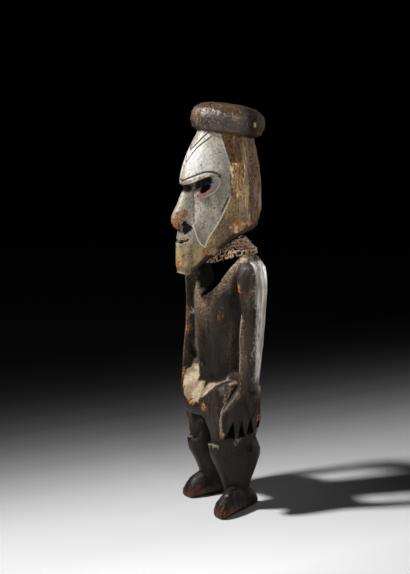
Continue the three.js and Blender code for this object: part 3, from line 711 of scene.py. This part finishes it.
# %% Thin the skin, but not along the lines
MOST_TRIANGLES = 192000
KEEP_IN_HEAD = 0.30
KEEP_IN_HANDS = 0.6
KEEP_LINES = [(BROW_GROOVE, 4), (BROW_LIP, 4), (MOUTH, 4), (LIME_LINE, 2.5), (LIME_SHORT, 2.5),
              (FACE_RIDGE, 2.5), (CHEVRONS[0], 3), (CHEVRONS[1], 3), (NOSTRIL, 3)]

skin = Skin(carving)
x, y, z = skin.place.T
keep = most(KEEP_IN_HEAD * ease(z, 350, 372), ease(skin.within(EYE_OUTLINE), -3, -1.5),
            KEEP_IN_HANDS * (np.abs(x) > 60) * (z < 150))
for line, reach in KEEP_LINES:
    off = skin.off_line(smooth_line(line), 8)
    keep = most(keep, 1 - ease(off, reach * 0.6, reach))
group = carving.vertex_groups.new(name="thin_out")
loose = np.round(1 - keep, 1)
for level in np.unique(loose):
    group.add(np.where(loose == level)[0].tolist(), float(level), "REPLACE")
carving.data.calc_loop_triangles()
ratio = MOST_TRIANGLES / len(carving.data.loop_triangles)
work(carving, "DECIMATE", ratio=min(1.0, ratio), vertex_group="thin_out", vertex_group_factor=0.6)
carving.vertex_groups.clear()
carving.data.calc_loop_triangles()
print("triangles:", len(carving.data.loop_triangles))

# %% [markdown]
# ## Where each colour goes
#
# The block was stained and smoked dark, the face was rubbed with pale clay, and handling has taken the skin
# off the corners down to orange wood. A material can't know where the nose is, so every point of the skin
# gets a few numbers: how much clay, how much bare wood and so on. Some numbers paint light and shade into
# the colour: highlights and a sheen, the lit lap and strap, and shade in grooves, holes, creases and
# hollows. The material then breaks these soft areas up with noise. The numbers beside x, y and z are places
# on the figure in mm, and those beside nx, ny and nz are slopes.

# %% Measure how much each point stands out
skin = Skin(carving)
edges = edges_of(carving)
x, y, z = skin.place.T
nx, ny, nz = skin.facing.T
above_jaw = over_jaw()


def stands_out(rounds):
    """How far in mm the skin stands out over its surroundings."""
    flat = np.column_stack([spread(skin.place[:, k], edges, rounds) for k in range(3)])
    return np.sum((skin.place - flat) * skin.facing, axis=1)


def band(line, width, fold=False, soft=0.6):
    """1 on a line, fading to 0 at its width, with a ragged edge."""
    off = skin.off_line(smooth_line(line), width * 2.5, fold)
    near = off < width * 2
    ragged = np.zeros(len(off))
    ragged[near] = noise(skin.place[near], (width, width, width * 1.6))
    return 1 - ease(off + 0.25 * width * ragged, width * (1 - soft), width)


def bands(table, fold=False):
    """Bands in one layer, from rows of a line, a width in mm and a strength."""
    return most(*(strength * band(line, width, fold) for line, width, strength in table))


def spots(table, fold=False):
    """Spots in one layer, from rows of a centre, a radius in mm and a strength."""
    return most(*(strength * skin.spot(centre, radius, fold) for centre, radius, strength in table))


def patches(size, low, high):
    """Loose patches over the whole skin, from noise with bumps of this size in mm."""
    return ease(noise(skin.place, size), low, high)


def store(**layers):
    """Stores layers on the carving's points, where the material finds them by name."""
    for name, amount in layers.items():
        layer = carving.data.attributes.new(name, "FLOAT", "POINT")
        layer.data.foreach_set("value", np.clip(amount, 0, 1).astype(np.float32))
        print("%s %.3f" % (name, amount.mean()))


corners = ease(stands_out(14), 0.35, 1.1)
sharp_corners = ease(stands_out(6), 0.4, 0.8)
# How far the skin sinks into its surroundings; shade is painted into these creases further down.
sunk = ease(-stands_out(10), 0.25, 0.9)
print("corner points: %.1f%%" % (100 * float((corners > 0.5).mean())))

# %% Clay on the face, tan wood beside it
# The clay ends along the lime line and the ridge above it.
FACE_EDGE = np.array([(24, -38, 380), *LIME_LINE[::-1], *FACE_RIDGE[-2::-1], (28, -10, 562)])

cap_level = z + CAP_TILT * y
cap = ease(cap_level, 554.5, 556)
head = ease(above_jaw, -1.5, 0.5) * (np.abs(x) < 45) * (1 - cap)
in_front = ease(np.interp(z, FACE_EDGE[:, 2], FACE_EDGE[:, 1]) - y, -0.7, 0.7)
jaw_corner = head * (1 - ease(z - 395 - 0.55 * (y + 35), 8, 45))
# Painted shade: a dark band along the lower edge of the jaw, where the edge turns under, away from the
# light.
jaw_band = head * (1 - ease(above_jaw + 2.0 * noise(skin.place, (9, 9, 9)), 5, 12)) * ease(y, -62, -42)
underside = ease(-nz, 0.25, 0.6) * ease(z, 330, 345) * (1 - ease(z, 452, 458))
clay = head * in_front * (0.4 + 0.6 * ease(z, 380, 450))
clay *= (1 - 0.95 * underside) * (1 - 0.8 * jaw_band)
tan = head * (1 - in_front) * (1 - 0.5 * ease(y, 34, 40)) * (0.85 + 0.25 * noise(skin.place, (6, 8, 16)))
tan = most(tan, 0.8 * jaw_corner) * (1 - 0.85 * underside) * (1 - 0.8 * jaw_band)
crown_back = head * most(ease(y, 16, 42), 0.72 * ease(z, 470, 530) * (1 - in_front))
# Painted highlight: a pale spot on the forehead and a little paleness over the upper head.
pale = most(skin.spot((19, -46, 512), (20, 24, 30), fold=True, rough=0.3), 0.2 * ease(z, 486, 500))
store(clay=clay, tan=tan, cap=cap, jaw_band=jaw_band, crown_back=crown_back, pale=pale)

# %% Bare orange wood on the corners, golden wood in the ears
BARE_ON_HEAD = [
    ((8, -69, 437), 9, 1), ((6, -73, 430), 9, 1), ((10, -60, 444), 6, 0.8),
    ((3, -66, 368), 5, 0.9), ((24.6, -34.5, 387), 5, 1), ((37.8, 12, 428), 5, 0.8),
    ((36.3, 22, 421), 4, 0.7), ((34.1, 32.5, 425.6), 3.5, 0.7),
]
BARE_ON_BODY = [
    ((71.7, -8.9, 337), (3.5, 3.5, 6), 0.9), ((29, -40.6, 159), (8, 5, 9), 1),
    ((1, -45, 160), (7, 5, 5), 0.8), ((-15.6, -38.6, 158), (6, 5, 5), 0.8),
    ((75, -38.8, 127), (4.5, 4.5, 5), 1), ((79.5, 21.9, 143.4), (3, 3, 5), 0.7),
    ((-69.5, -12, 187), (7, 6, 8), 0.7), ((-72, -9, 254), (5, 5, 12), 0.6),
    ((62.5, -13.4, 190.3), (5, 5, 5), 0.6),
]
GOLDEN_ON_JAW = [
    ((36.5, 15, 421), (5, 14, 8), 1), ((28, -22, 386), (5, 12, 8), 0.8), ((33, 38, 425), (5, 8, 7), 0.8),
]
BESIDE_ARM_EDGE = (4.5, 2.5, -8)

bare = most(
    spots(BARE_ON_HEAD, fold=True),
    spots(BARE_ON_BODY),
    0.32 * band(np.array(ARM_EDGE) + BESIDE_ARM_EDGE, 5.0),
    0.5 * corners * cap * patches((16, 16, 9), 0.0, 0.5),
)
worn = most(
    0.55 * sharp_corners * (z < 340) * patches((8, 8, 26), 0.1, 0.6),
    0.75 * cap * ease(cap_level, 580, 590) * patches((15, 15, 9), -0.1, 0.5),
)
golden = most(
    0.9 * ease(skin.within(EAR_OUTLINE), -0.6, 0.8),
    0.8 * band(BROW_LIP, 1.7, fold=True),
    0.75 * spots(GOLDEN_ON_JAW, fold=True),
)
store(bare=bare, worn=worn, golden=golden)

# %% Pale haze and painted light on the chest and arms, the lit lap, the painted sheen on the arms
# How far each point lies to the side as the camera sees it; the painted light and shade on the far side end
# along it.
VIEW_SIDEWAYS = (0.545, 0.839, 0)
STRAP_SHIFT = (2, -1, -6)

# The lap is pale wood with painted light on it: it is painted pale where it faces up and on its front below
# the belly.
soft_up = spread(nz, edges, 10)
lap_front = (x > -28) * (x < 22) * (ny < -0.1) * (z > 160)
lap = most(ease(soft_up, 0.16, 0.28), lap_front) * (1 - ease(y, 0, 9)) * (np.abs(x) < 66)
lap *= ease(z - np.interp(x, LAP_LOW_X, LAP_LOW_Z), -1.5, 1.5)
lap *= 1 - ease(z - np.interp(x, LAP_TOP_X, LAP_TOP_Z), -0.5, 1.5)

sideways = skin.place @ VIEW_SIDEWAYS
chest = (y < -8) * (np.abs(x) < 48) * (above_jaw < -2) * ease(-ny, 0.2, 0.5) * (z > 200)
chest_middle = ease(z, 262, 322) * (1 - ease(x, 0, 30))
chest_side = 1 - ease(x, -22, -6)
arm_mottle = (np.abs(x) > 66) * ease(z, 150, 170) * patches((7, 7, 20), 0.0, 0.5)
far_arm = (x < -55) * (z > 205) * (z < 356) * ease(-ny, 0.1, 0.5)
far_strip = (x < -55) * (z > 296) * (z < 360) * ease(sideways, -38, -35.5)
strap = band(np.array(NECKLINE) + STRAP_SHIFT, 10, fold=True, soft=0.4) * (above_jaw < -2)
# Pale dust on the chest, khaki on the flank and worn patches on the arms, with painted light on the
# neckline, the strap below it, the shoulder spot and the far strip.
haze = most(
    chest * most(chest_middle, 0.6 * chest_side),
    band(NECKLINE, 13, fold=True, soft=0.8),
    strap,
    0.8 * skin.spot((56, 8, 372), (16, 12, 12), fold=True),
    0.4 * band(FLANK, 6),
    0.3 * arm_mottle,
    0.45 * far_arm,
    far_strip * (1 - ease(sideways, -29.5, -27.5)),
)
# Painted sheen: the back of the arms gets grey patina with a bright, streaky reflection painted over it.
silver = (np.abs(x) > 68) * ease(z, 180, 215) * (1 - ease(z, 372, 380))
silver = silver * ease(y, 6, 10.5) * (1 - ease(y, 26, 34)) * ease(np.abs(nx), 0.15, 0.4)
store(haze=haze, lap=lap, silver=silver)

# %% Dust in the creases and along the edges, with painted highlights and glints
# Dust, with painted highlights on the lip under the mouth, the nape crease, the heel, the knee ledges, the
# insteps, the shoulder and beside the nape.
DUST_ON_FACE = [(MOUTH_EDGE, 1.8, 0.5), (FACE_RIDGE, 1.3, 0.45), (NAPE_CREASE, 1.6, 0.5)]
DUST_ON_BODY = [
    (ARM_EDGE, 1.7, 0.75), (THUMB_EDGE, 3, 0.6), (HEEL_GLINT, 1.6, 0.5), (KNEE_LEDGE, 3.2, 0.65),
    (FAR_KNEE_LEDGE, 2.4, 0.55), *((line, 2.2, 0.6) for line in KNEE_STREAKS),
]
DUST_SPOTS = [
    ((4, -27, 300), (10, 6, 14), 0.33), ((12, -27, 268), (3, 4, 4), 0.4),
    ((36, -15.7, 330), (7, 6, 8), 0.4), ((62, 5, 376), (8, 6, 4), 0.6),
    ((39.5, -30.5, 87), (2.5, 3, 3), 0.9), ((67, -25, 31), (3, 4, 2.5), 0.5),
    ((-34, -12, 31), (2.5, 5, 2.5), 0.5), ((32, 34, 434), (3, 5, 6), 0.8),
    ((76, 16, 162), (3, 4, 3), 0.5), ((43.9, 36.2, 567.6), (3, 3, 4), 0.7),
]
NAVEL_RIM = 6.6

navel_gap = np.linalg.norm(skin.place - NAVEL_CENTRE, axis=1)
dust = most(bands(DUST_ON_FACE, fold=True), bands(DUST_ON_BODY), spots(DUST_SPOTS),
            0.5 * bell(navel_gap - NAVEL_RIM, 0.9))
store(dust=dust)

# %% Lime lines, ochre eyes and red feet
OCHRE_AT_BACK = [((19, 63, 456), (6, 6, 12), 1), ((26, 52, 470), (5, 6, 16), 0.7)]

eye_depth = skin.within(EYE_OUTLINE)
lime = most(
    band(LIME_LINE, 0.95, fold=True, soft=0.5),
    band(LIME_SHORT, 0.95, fold=True, soft=0.5),
    0.55 * bell(eye_depth + 0.2, 0.7),
)
ochre = most(ease(eye_depth, 0.2, 1.4), band(OCHRE_LINE, 2.6, fold=True), 0.6 * spots(OCHRE_AT_BACK))
deep_ochre = band(OCHRE_LINE, 3.2, fold=True)
mauve = ease(skin.folded[:, 1] + 0.6 * (skin.folded[:, 2] - 478), -34, -22)
red = 0.75 * (1 - ease(z, 8, 30)) * (1 - 0.6 * ease(y, -22, 8))
store(lime=lime, ochre=ochre, deep_ochre=deep_ochre, mauve=mauve, red=red)

# %% Very dark pupils and painted shade in grooves, holes and hollows; dull and deep-toned wood
# Painted shade in the grooves, cracks, creases, the eye socket and the step by the ear.
BLACK_ON_FACE = [
    (CHEVRONS[0], 1.0, 0.85), (CHEVRONS[1], 1.0, 0.85), (BROW_GROOVE, 1.3, 0.85), (MOUTH, 1.5, 0.85),
    (LIME_STEP, 1.4, 0.85), (SOCKET_SHADE, 8, 0.97), (NOSE_CREASE, 1.4, 0.3),
]
BLACK_ON_BODY = [
    (ARM_CRACK, 1.3, 0.7), (WRIST_LINE, 1.3, 0.7), *((line, 1.2, 0.7) for line in CHECKS),
    *((line, 1.3, 0.5) for line in TOE_LINES),
]


def finger_gaps():
    """1 in the wedges between the fingers of both hands, where shade is painted."""
    total = np.zeros(len(z))
    for (tip_y, tip_z), (front, back) in zip(GAP_TIPS, GAP_FEET):
        up = (z - GAP_FOOT_Z) / (tip_z - GAP_FOOT_Z)
        for side, behind in ((1, 0), (-1, RIGHT_HAND_BACK)):
            along = y - behind
            from_front = along - (front + up * (tip_y - front))
            from_back = back + up * (tip_y - back) - along
            in_wedge = ease(np.minimum(from_front, from_back), -1.9, -1.2)
            total = most(total, in_wedge * (side * x > 56) * ease(z, 112, 115) * (up < 1.1))
    return total


# The hollow under the chin and the far side seen past it are painted as deep shade.
bowl_y = np.interp(z, BOWL_Z, BOWL_Y)
rim_x = np.interp(z, [mark[2] for mark in NECKLINE], [mark[0] for mark in NECKLINE])
hollow = (np.abs(x) < rim_x - 0.5) * (above_jaw < 2) * (z > 316) * (z < 430)
hollow = hollow * ease(y - bowl_y, -1, 1.5) * (y < 18)
far_rim = np.interp(x, FAR_RIM_X, FAR_RIM_Z)
far_side = (x < 2) * ease(z - far_rim, -1, 1) * (above_jaw < -1) * (y > -40) * (y < 16)
# Very dark pupils, and painted shade in the grooves, cracks, nostrils, navel, finger gaps, pin holes,
# hollows and creases.
black = most(
    bands(BLACK_ON_FACE, fold=True),
    bands(BLACK_ON_BODY),
    1 - ease(pupil_reach(), 0.8, 1.1),
    0.95 * ease(skin.within(NOSTRIL_OUTLINE), -0.4, 0.8),
    0.95 * (1 - ease(navel_gap, 2.8, 4.0)),
    0.92 * finger_gaps(),
    (skin.side > 0) * bell(pin_gap(), 1.3),
    hollow,
    far_side * ease(sideways, -29.5, -27.5),
    0.6 * sunk * (1 - lap),
)
dull = most(crown_back, cap * ease(y, 10, 34))
belly = (np.abs(x) < 46) * (y < 12) * ease(z, 190, 196) * (1 - ease(z, 262, 300))
deep = most(1 - ease(z, 100, 128), belly * (1 - haze), cap * ease(y, 0, 36))
store(black=black, dull=dull, deep=deep)

# %% [markdown]
# ## The wood's material
#
# One material carries all of it, coat over coat: smoked dark wood, the worn edges and the browner cap, pale
# haze on chest and arms with painted light on the strap, shoulder and far side, tan wood, painted shade
# along the jaw, clay with a painted highlight on the forehead, the red feet, grey patina with a painted
# sheen on the arms, the pale lap with painted light where it faces up, dust with painted highlights, golden
# and bare wood, ochre, lime, and last very dark pupils and the painted shade of grooves, holes and hollows.
# Most coats have a ragged mask, so no edge is ruled. Polished wood is smoother than dust, and fine grain is
# a small bump.

# %% Patterns and masks of the wood
wood = Recipe("smoked_wood_with_clay")
step, stored, ragged = wood.step, wood.stored, wood.ragged
fine_grain = wood.noise((700, 700, 45), 3)
streaks = wood.noise((160, 160, 14), 4)
blotches = wood.noise((42, 42, 22), 5, 0.6)
specks = wood.noise((480, 480, 480), 3, 0.7)
pits = wood.noise((270, 270, 240), 3, 0.6)
flakes = wood.noise((330, 330, 260), 5, 0.65)

clay_mask = ragged("clay", flakes, 0.96)
# Mask of the grey patina and painted sheen on the arms.
silver_mask = ragged("silver", flakes, 0.9, 0.35)
# Mask of the dust and of the painted highlights and glints.
dust_mask = ragged("dust", flakes, 0.92)
bare_mask = ragged("bare", flakes, 0.92)
# Mask of the pale haze and of the painted light on the neckline, strap, shoulder and far strip.
haze_mask = stored("haze", step(flakes, 0.36, 0.6, 0.95, 0.2))
# Mask of the painted highlight on the forehead.
pale_mask = stored("pale", step(flakes, 0.35, 0.6, 0.55, 0.9))
# Mask of the pale lap with its painted light.
lap_mask = wood.maths("MULTIPLY", step(stored("lap"), 0.35, 0.7), step(pits, 0.5, 0.7, 0.55, 1.0))
lime_mask = stored("lime", step(flakes, 0.3, 0.45, 0.95, 0.5))
print("masks made")

# %% Mix the wood, coat over coat
# Each coat has a mask, its first tone, and finer tones with their own masks.
SMOKED = (27, 21, 17), [
    (step(streaks, 0.38, 0.66), (50, 38, 30)), (step(blotches, 0.52, 0.7, 0.6), (68, 50, 38)),
    (step(fine_grain, 0.55, 0.72, 0.35), (92, 74, 58)),
]
COATS = [
    (ragged("worn", flakes, 0.8), (84, 50, 30), [(step(streaks, 0.35, 0.65), (150, 104, 64))]),
    (stored("cap", 0.75), (38, 29, 23), [
        (step(blotches, 0.44, 0.66), (82, 58, 38)), (step(flakes, 0.5, 0.62, 0.65), (140, 104, 68)),
    ]),
    (stored("deep", 0.7), (19, 14, 11), []),
    # Pale haze, with painted light on the neckline, strap, shoulder and far strip.
    (haze_mask, (98, 80, 62), [(step(specks, 0.42, 0.6), (160, 142, 118))]),
    (ragged("tan", flakes, 0.92), (108, 92, 66), [
        (step(blotches, 0.42, 0.6), (170, 140, 94)), (step(streaks, 0.5, 0.62, 0.7), (88, 60, 38)),
        (step(specks, 0.5, 0.66, 0.6), (186, 156, 108)), (step(pits, 0.48, 0.7, 0.8), (58, 44, 30)),
    ]),
    (ragged("crown_back", streaks, 0.9), (52, 36, 24), [(step(flakes, 0.42, 0.6), (104, 74, 48))]),
    # Painted shade along the lower edge of the jaw.
    (stored("jaw_band", 0.8), (52, 36, 26), []),
    (clay_mask, (134, 127, 110), [
        (step(blotches, 0.4, 0.62), (168, 162, 146)), (step(flakes, 0.46, 0.62, 0.65), (104, 92, 70)),
        # The last tone on the next line is the painted highlight on the forehead.
        (step(specks, 0.5, 0.64, 0.6), (76, 66, 52)), (pale_mask, (200, 198, 194)),
        (step(pits, 0.64, 0.7, 0.7), (48, 44, 38)),
    ]),
    (ragged("red", streaks, 0.8), (58, 32, 24), [(step(flakes, 0.4, 0.6), (104, 58, 40))]),
    # Grey patina with a painted sheen down the back of the arms.
    (silver_mask, (128, 116, 104), [
        (step(streaks, 0.42, 0.6), (218, 211, 202)), (step(fine_grain, 0.48, 0.6, 0.6), (104, 92, 80)),
    ]),
    # Pale wood on the lap, with painted light where it faces up.
    (lap_mask, (128, 110, 86), [
        (step(blotches, 0.4, 0.6), (176, 160, 134)), (step(specks, 0.52, 0.66, 0.5), (104, 84, 62)),
    ]),
    # Dust, and painted highlights and glints.
    (dust_mask, (126, 110, 88), [
        (step(blotches, 0.38, 0.62), (160, 145, 120)), (step(specks, 0.56, 0.7, 0.5), (110, 90, 66)),
    ]),
    (ragged("golden", flakes, 0.92), (140, 98, 58), [
        (step(streaks, 0.4, 0.62), (222, 186, 134)), (step(flakes, 0.5, 0.6, 0.75), (70, 42, 24)),
    ]),
    (bare_mask, (66, 42, 26), [(step(flakes, 0.4, 0.58), (172, 116, 64))]),
    (stored("ochre", 0.85), (176, 128, 126), [
        (stored("mauve"), (136, 122, 122)), (stored("deep_ochre"), (170, 84, 78)),
        (step(flakes, 0.5, 0.65, 0.5), (110, 84, 80)),
    ]),
    (lime_mask, (206, 202, 190), []),
    # Very dark pupils and painted shade in grooves, holes and hollows.
    (stored("black", 0.985), (4, 3, 3), []),
]
colour = wood.layers(*SMOKED)
for mask, base, finer in COATS:
    colour = wood.mix(mask, colour, wood.layers(base, finer))
print("coats over the smoked wood:", len(COATS))

# %% Polish and fine grain
CLAY_GLOSS = wood.mix(step(blotches, 0.4, 0.65), 0.32, 0.48, "FLOAT")
GRAIN_BUMP_M = 0.0010
SMOOTH_BELOW_DEGREES = 55

gloss = wood.layers(0.34, [
    (step(flakes, 0.35, 0.7), 0.5), (clay_mask, CLAY_GLOSS), (dust_mask, 0.68), (silver_mask, 0.36),
    (bare_mask, 0.55), (wood.maths("MAXIMUM", stored("black"), stored("dull")), 0.9),
], "FLOAT")
shine = wood.layers(0.26, [
    (clay_mask, 0.5), (silver_mask, 0.9), (stored("cap"), 0.8), (stored("dull"), 0.08),
    (stored("black"), 0.03),
], "FLOAT")
height = wood.maths("MULTIPLY", fine_grain, 0.6)
for pattern, share in ((flakes, 0.7), (specks, 0.4), (step(pits, 0.58, 0.68), -0.8)):
    height = wood.maths("ADD", height, wood.maths("MULTIPLY", pattern, share))
wood.put_on(carving, {"Base Color": colour, "Roughness": gloss, "Specular IOR Level": shine,
                      "Normal": wood.bump(height, GRAIN_BUMP_M)})
alone(carving)
bpy.ops.object.shade_smooth_by_angle(angle=math.radians(SMOOTH_BELOW_DEGREES))
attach(carving, "root")
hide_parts("figure")
print("carving finished")

# %% [markdown]
# ## The looped string collar
#
# The collar is one long two-ply string, looped row under row: each loop catches
# in the one above it. A wire mesh would look too even, so the string really
# runs in loops. The path of each row swings down and up, leans back on itself,
# and dips in and out where it crosses the row above. A tube with two twisted
# lobes follows it. Fine fibres and a few broken ends stick out.

# %% The surface that the net lies on
# Each row has the half width, the half depth and the height of the collar in mm.
COLLAR_ROWS = [(46, 38.5, 380.8), (44.5, 37.5, 385), (38, 32.5, 390), (31, 28, 396), (25, 24, 400)]
COLLAR_MIDDLE_Y = 20.57
FRONT_DROP = 13.0
HEM_DROP = 24.0
OUTWARDS, UPWARDS = 0.8, 0.6

rows = np.array(COLLAR_ROWS)
slant = np.r_[0, np.cumsum(np.linalg.norm(np.diff(rows[:, [0, 2]], axis=0), axis=1))]
slant /= slant[-1]


def net_place(angle, up, out):
    """A point on the net: angle round the neck, up from hem (0) to neck (1), out in mm."""
    wide = np.interp(up, slant, rows[:, 0])
    deep = np.interp(up, slant, rows[:, 1])
    high = np.interp(up, slant, rows[:, 2]) - FRONT_DROP * np.maximum(0, -np.sin(angle)) ** 3
    low_edge = np.where(up < 0, up * HEM_DROP, 0)
    x = (wide + out * OUTWARDS) * np.cos(angle)
    y = COLLAR_MIDDLE_Y + (deep + out * OUTWARDS) * np.sin(angle)
    return np.column_stack([x, y, high + low_edge + out * UPWARDS])


print("slant positions:", np.round(slant, 2))

# %% A twisted string along a path


def string(path, radius, sides=6, turns_per_mm=0.16, lobes=0.22, taper=None):
    """Points and faces of a two-ply string along a path in mm."""
    run = np.gradient(path, axis=0)
    run /= np.maximum(np.linalg.norm(run, axis=1), 1e-9)[:, None]
    across = np.cross(run[0], (0.3, 0.2, 0.9))
    across /= np.linalg.norm(across)
    walked = np.r_[0, np.cumsum(np.linalg.norm(np.diff(path, axis=0), axis=1))]
    angles = np.arange(sides) * 2 * np.pi / sides
    rings = []
    for k, (point, way) in enumerate(zip(path, run)):
        across = across - (across @ way) * way
        across /= np.linalg.norm(across)
        other = np.cross(way, across)
        turn = 2 * np.pi * turns_per_mm * walked[k]
        size = radius * (1 + lobes * np.cos(2 * (angles - turn)))
        if taper is not None:
            size = size * taper[k]
        ring = np.outer(np.cos(angles), across) + np.outer(np.sin(angles), other)
        rings.append(point + size[:, None] * ring)
    corners = np.arange(len(path) * sides).reshape(-1, sides)
    turned = np.roll(corners, -1, axis=1)
    faces = np.stack([corners[:-1], turned[:-1], turned[1:], corners[1:]], axis=-1).reshape(-1, 4).tolist()
    faces += [corners[0, ::-1].tolist(), corners[-1].tolist()]
    return np.vstack(rings), faces


# %% Run the string in loops, row under row
LOOPS = 22
STEPS_PER_LOOP = 14
STRING_RADIUS = 1.45
LEVELS = [0.94, 0.73, 0.51, 0.29, 0.08]
LOOP_HEIGHT = 0.13
UNEVEN_SWING, UNEVEN_SHIFT, UNEVEN_LIFT, UNEVEN_RADIUS = 0.40, 0.20, 0.9, 0.06

s = np.linspace(0, LOOPS, LOOPS * STEPS_PER_LOOP + 1)[:-1]
pieces = []
for row, level in enumerate(LEVELS):
    swing = 1 + UNEVEN_SWING * rng.normal(size=LOOPS)
    shift = UNEVEN_SHIFT * rng.normal(size=LOOPS)
    lift = UNEVEN_LIFT * rng.normal(size=LOOPS)
    swing, shift, lift = [np.interp(s, np.arange(LOOPS + 1), np.r_[v, v[0]]) for v in (swing, shift, lift)]
    lean = 0.12 * np.sin(4 * np.pi * s)
    angle = 2 * np.pi * (s + lean + shift + 0.5 * (row % 2)) / LOOPS
    up = level + LOOP_HEIGHT * np.clip(swing, 0.5, 1.6) * np.cos(2 * np.pi * s)
    out = 0.2 + 0.9 * np.sin(4 * np.pi * s + 0.8) + 0.5 * lift
    path = net_place(angle, up, out)
    path = np.vstack([path, path[:1]])
    pieces.append(string(path, STRING_RADIUS * (1 + UNEVEN_RADIUS * rng.normal())))
print("rows of loops:", len(LEVELS), "with", LOOPS, "loops each")

# %% A draw string at the neck, broken ends and fine fibres
DRAW_STRING_RADIUS = 1.3
DRAW_STRING_DROPS = (0.0, 1.7)
BROKEN_ENDS, END_RADIUS = 26, 0.7
FIBRES, FIBRE_RADIUS = 220, 0.2

s = np.linspace(0, 2 * np.pi, 120)
for drop in DRAW_STRING_DROPS:
    wave = 0.5 * np.sin(9 * s + drop)
    path = net_place(s + drop, np.ones(len(s)), 0.8 + wave) - (0, 0, drop)
    pieces.append(string(path, DRAW_STRING_RADIUS))

t = np.linspace(0, 1, 6)
for _ in range(BROKEN_ENDS):
    start = rng.uniform(0, 2 * np.pi)
    length = rng.uniform(5, 12)
    root_up = rng.uniform(-0.05, 0.5)
    curl = rng.normal(0, 0.05, 2)
    path = net_place(start + curl[0] * t ** 2, np.full(len(t), root_up), 0.5 + 2.5 * t)
    path[:, 2] -= length * t ** 1.5 * 0.6
    path[:, :2] += (t ** 2)[:, None] * rng.normal(0, 2.0, 2)
    pieces.append(string(path, END_RADIUS, 5, taper=1 - 0.55 * t))

t = np.linspace(0, 1, 4)
for _ in range(FIBRES):
    start = rng.uniform(0, 2 * np.pi)
    root = net_place(np.array([start]), np.array([rng.uniform(-0.08, 0.98)]), 0.3)
    way = rng.normal(0, 1, 3) + (np.cos(start), np.sin(start), 0.2)
    way /= np.linalg.norm(way)
    bend = rng.normal(0, 0.8, 3)
    path = root + np.outer(t, way * rng.uniform(2.0, 4.5)) + np.outer(t ** 2, bend)
    pieces.append(string(path, FIBRE_RADIUS, 3, lobes=0, taper=1 - 0.6 * t))
print("pieces of string:", len(pieces))

# %% Join the strings into one mesh
all_points, all_faces = [], []
for points, faces in pieces:
    all_faces += [[corner + len(all_points) for corner in face] for face in faces]
    all_points += (points / MM).tolist()
net_mesh = bpy.data.meshes.new("string_collar")
net_mesh.from_pydata(all_points, [], all_faces)
net_mesh.validate()
collar = add("string_collar", net_mesh)
edit(collar, bpy.ops.mesh.normals_make_consistent, inside=False)
bpy.ops.object.shade_smooth()
print("string faces:", len(all_faces))

# %% Bark string: tan and pinkish brown, darker where it is greasy
TWIST_BUMP_M = 0.0003

bark = Recipe("bark_string")
wisps = bark.noise((1500, 1500, 1500), 4, 0.7)
grease = bark.noise((90, 90, 90), 4)
colour = bark.layers((128, 98, 76), [
    (bark.step(wisps, 0.35, 0.65), (192, 166, 138)),
    (bark.step(grease, 0.5, 0.66, 0.75), (96, 58, 42)),
])
bark.put_on(collar, {"Base Color": colour, "Roughness": 0.85, "Specular IOR Level": 0.3,
                     "Normal": bark.bump(wisps, TWIST_BUMP_M)})
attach(collar, "root")
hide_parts("fibre_collar")
print("collar finished")
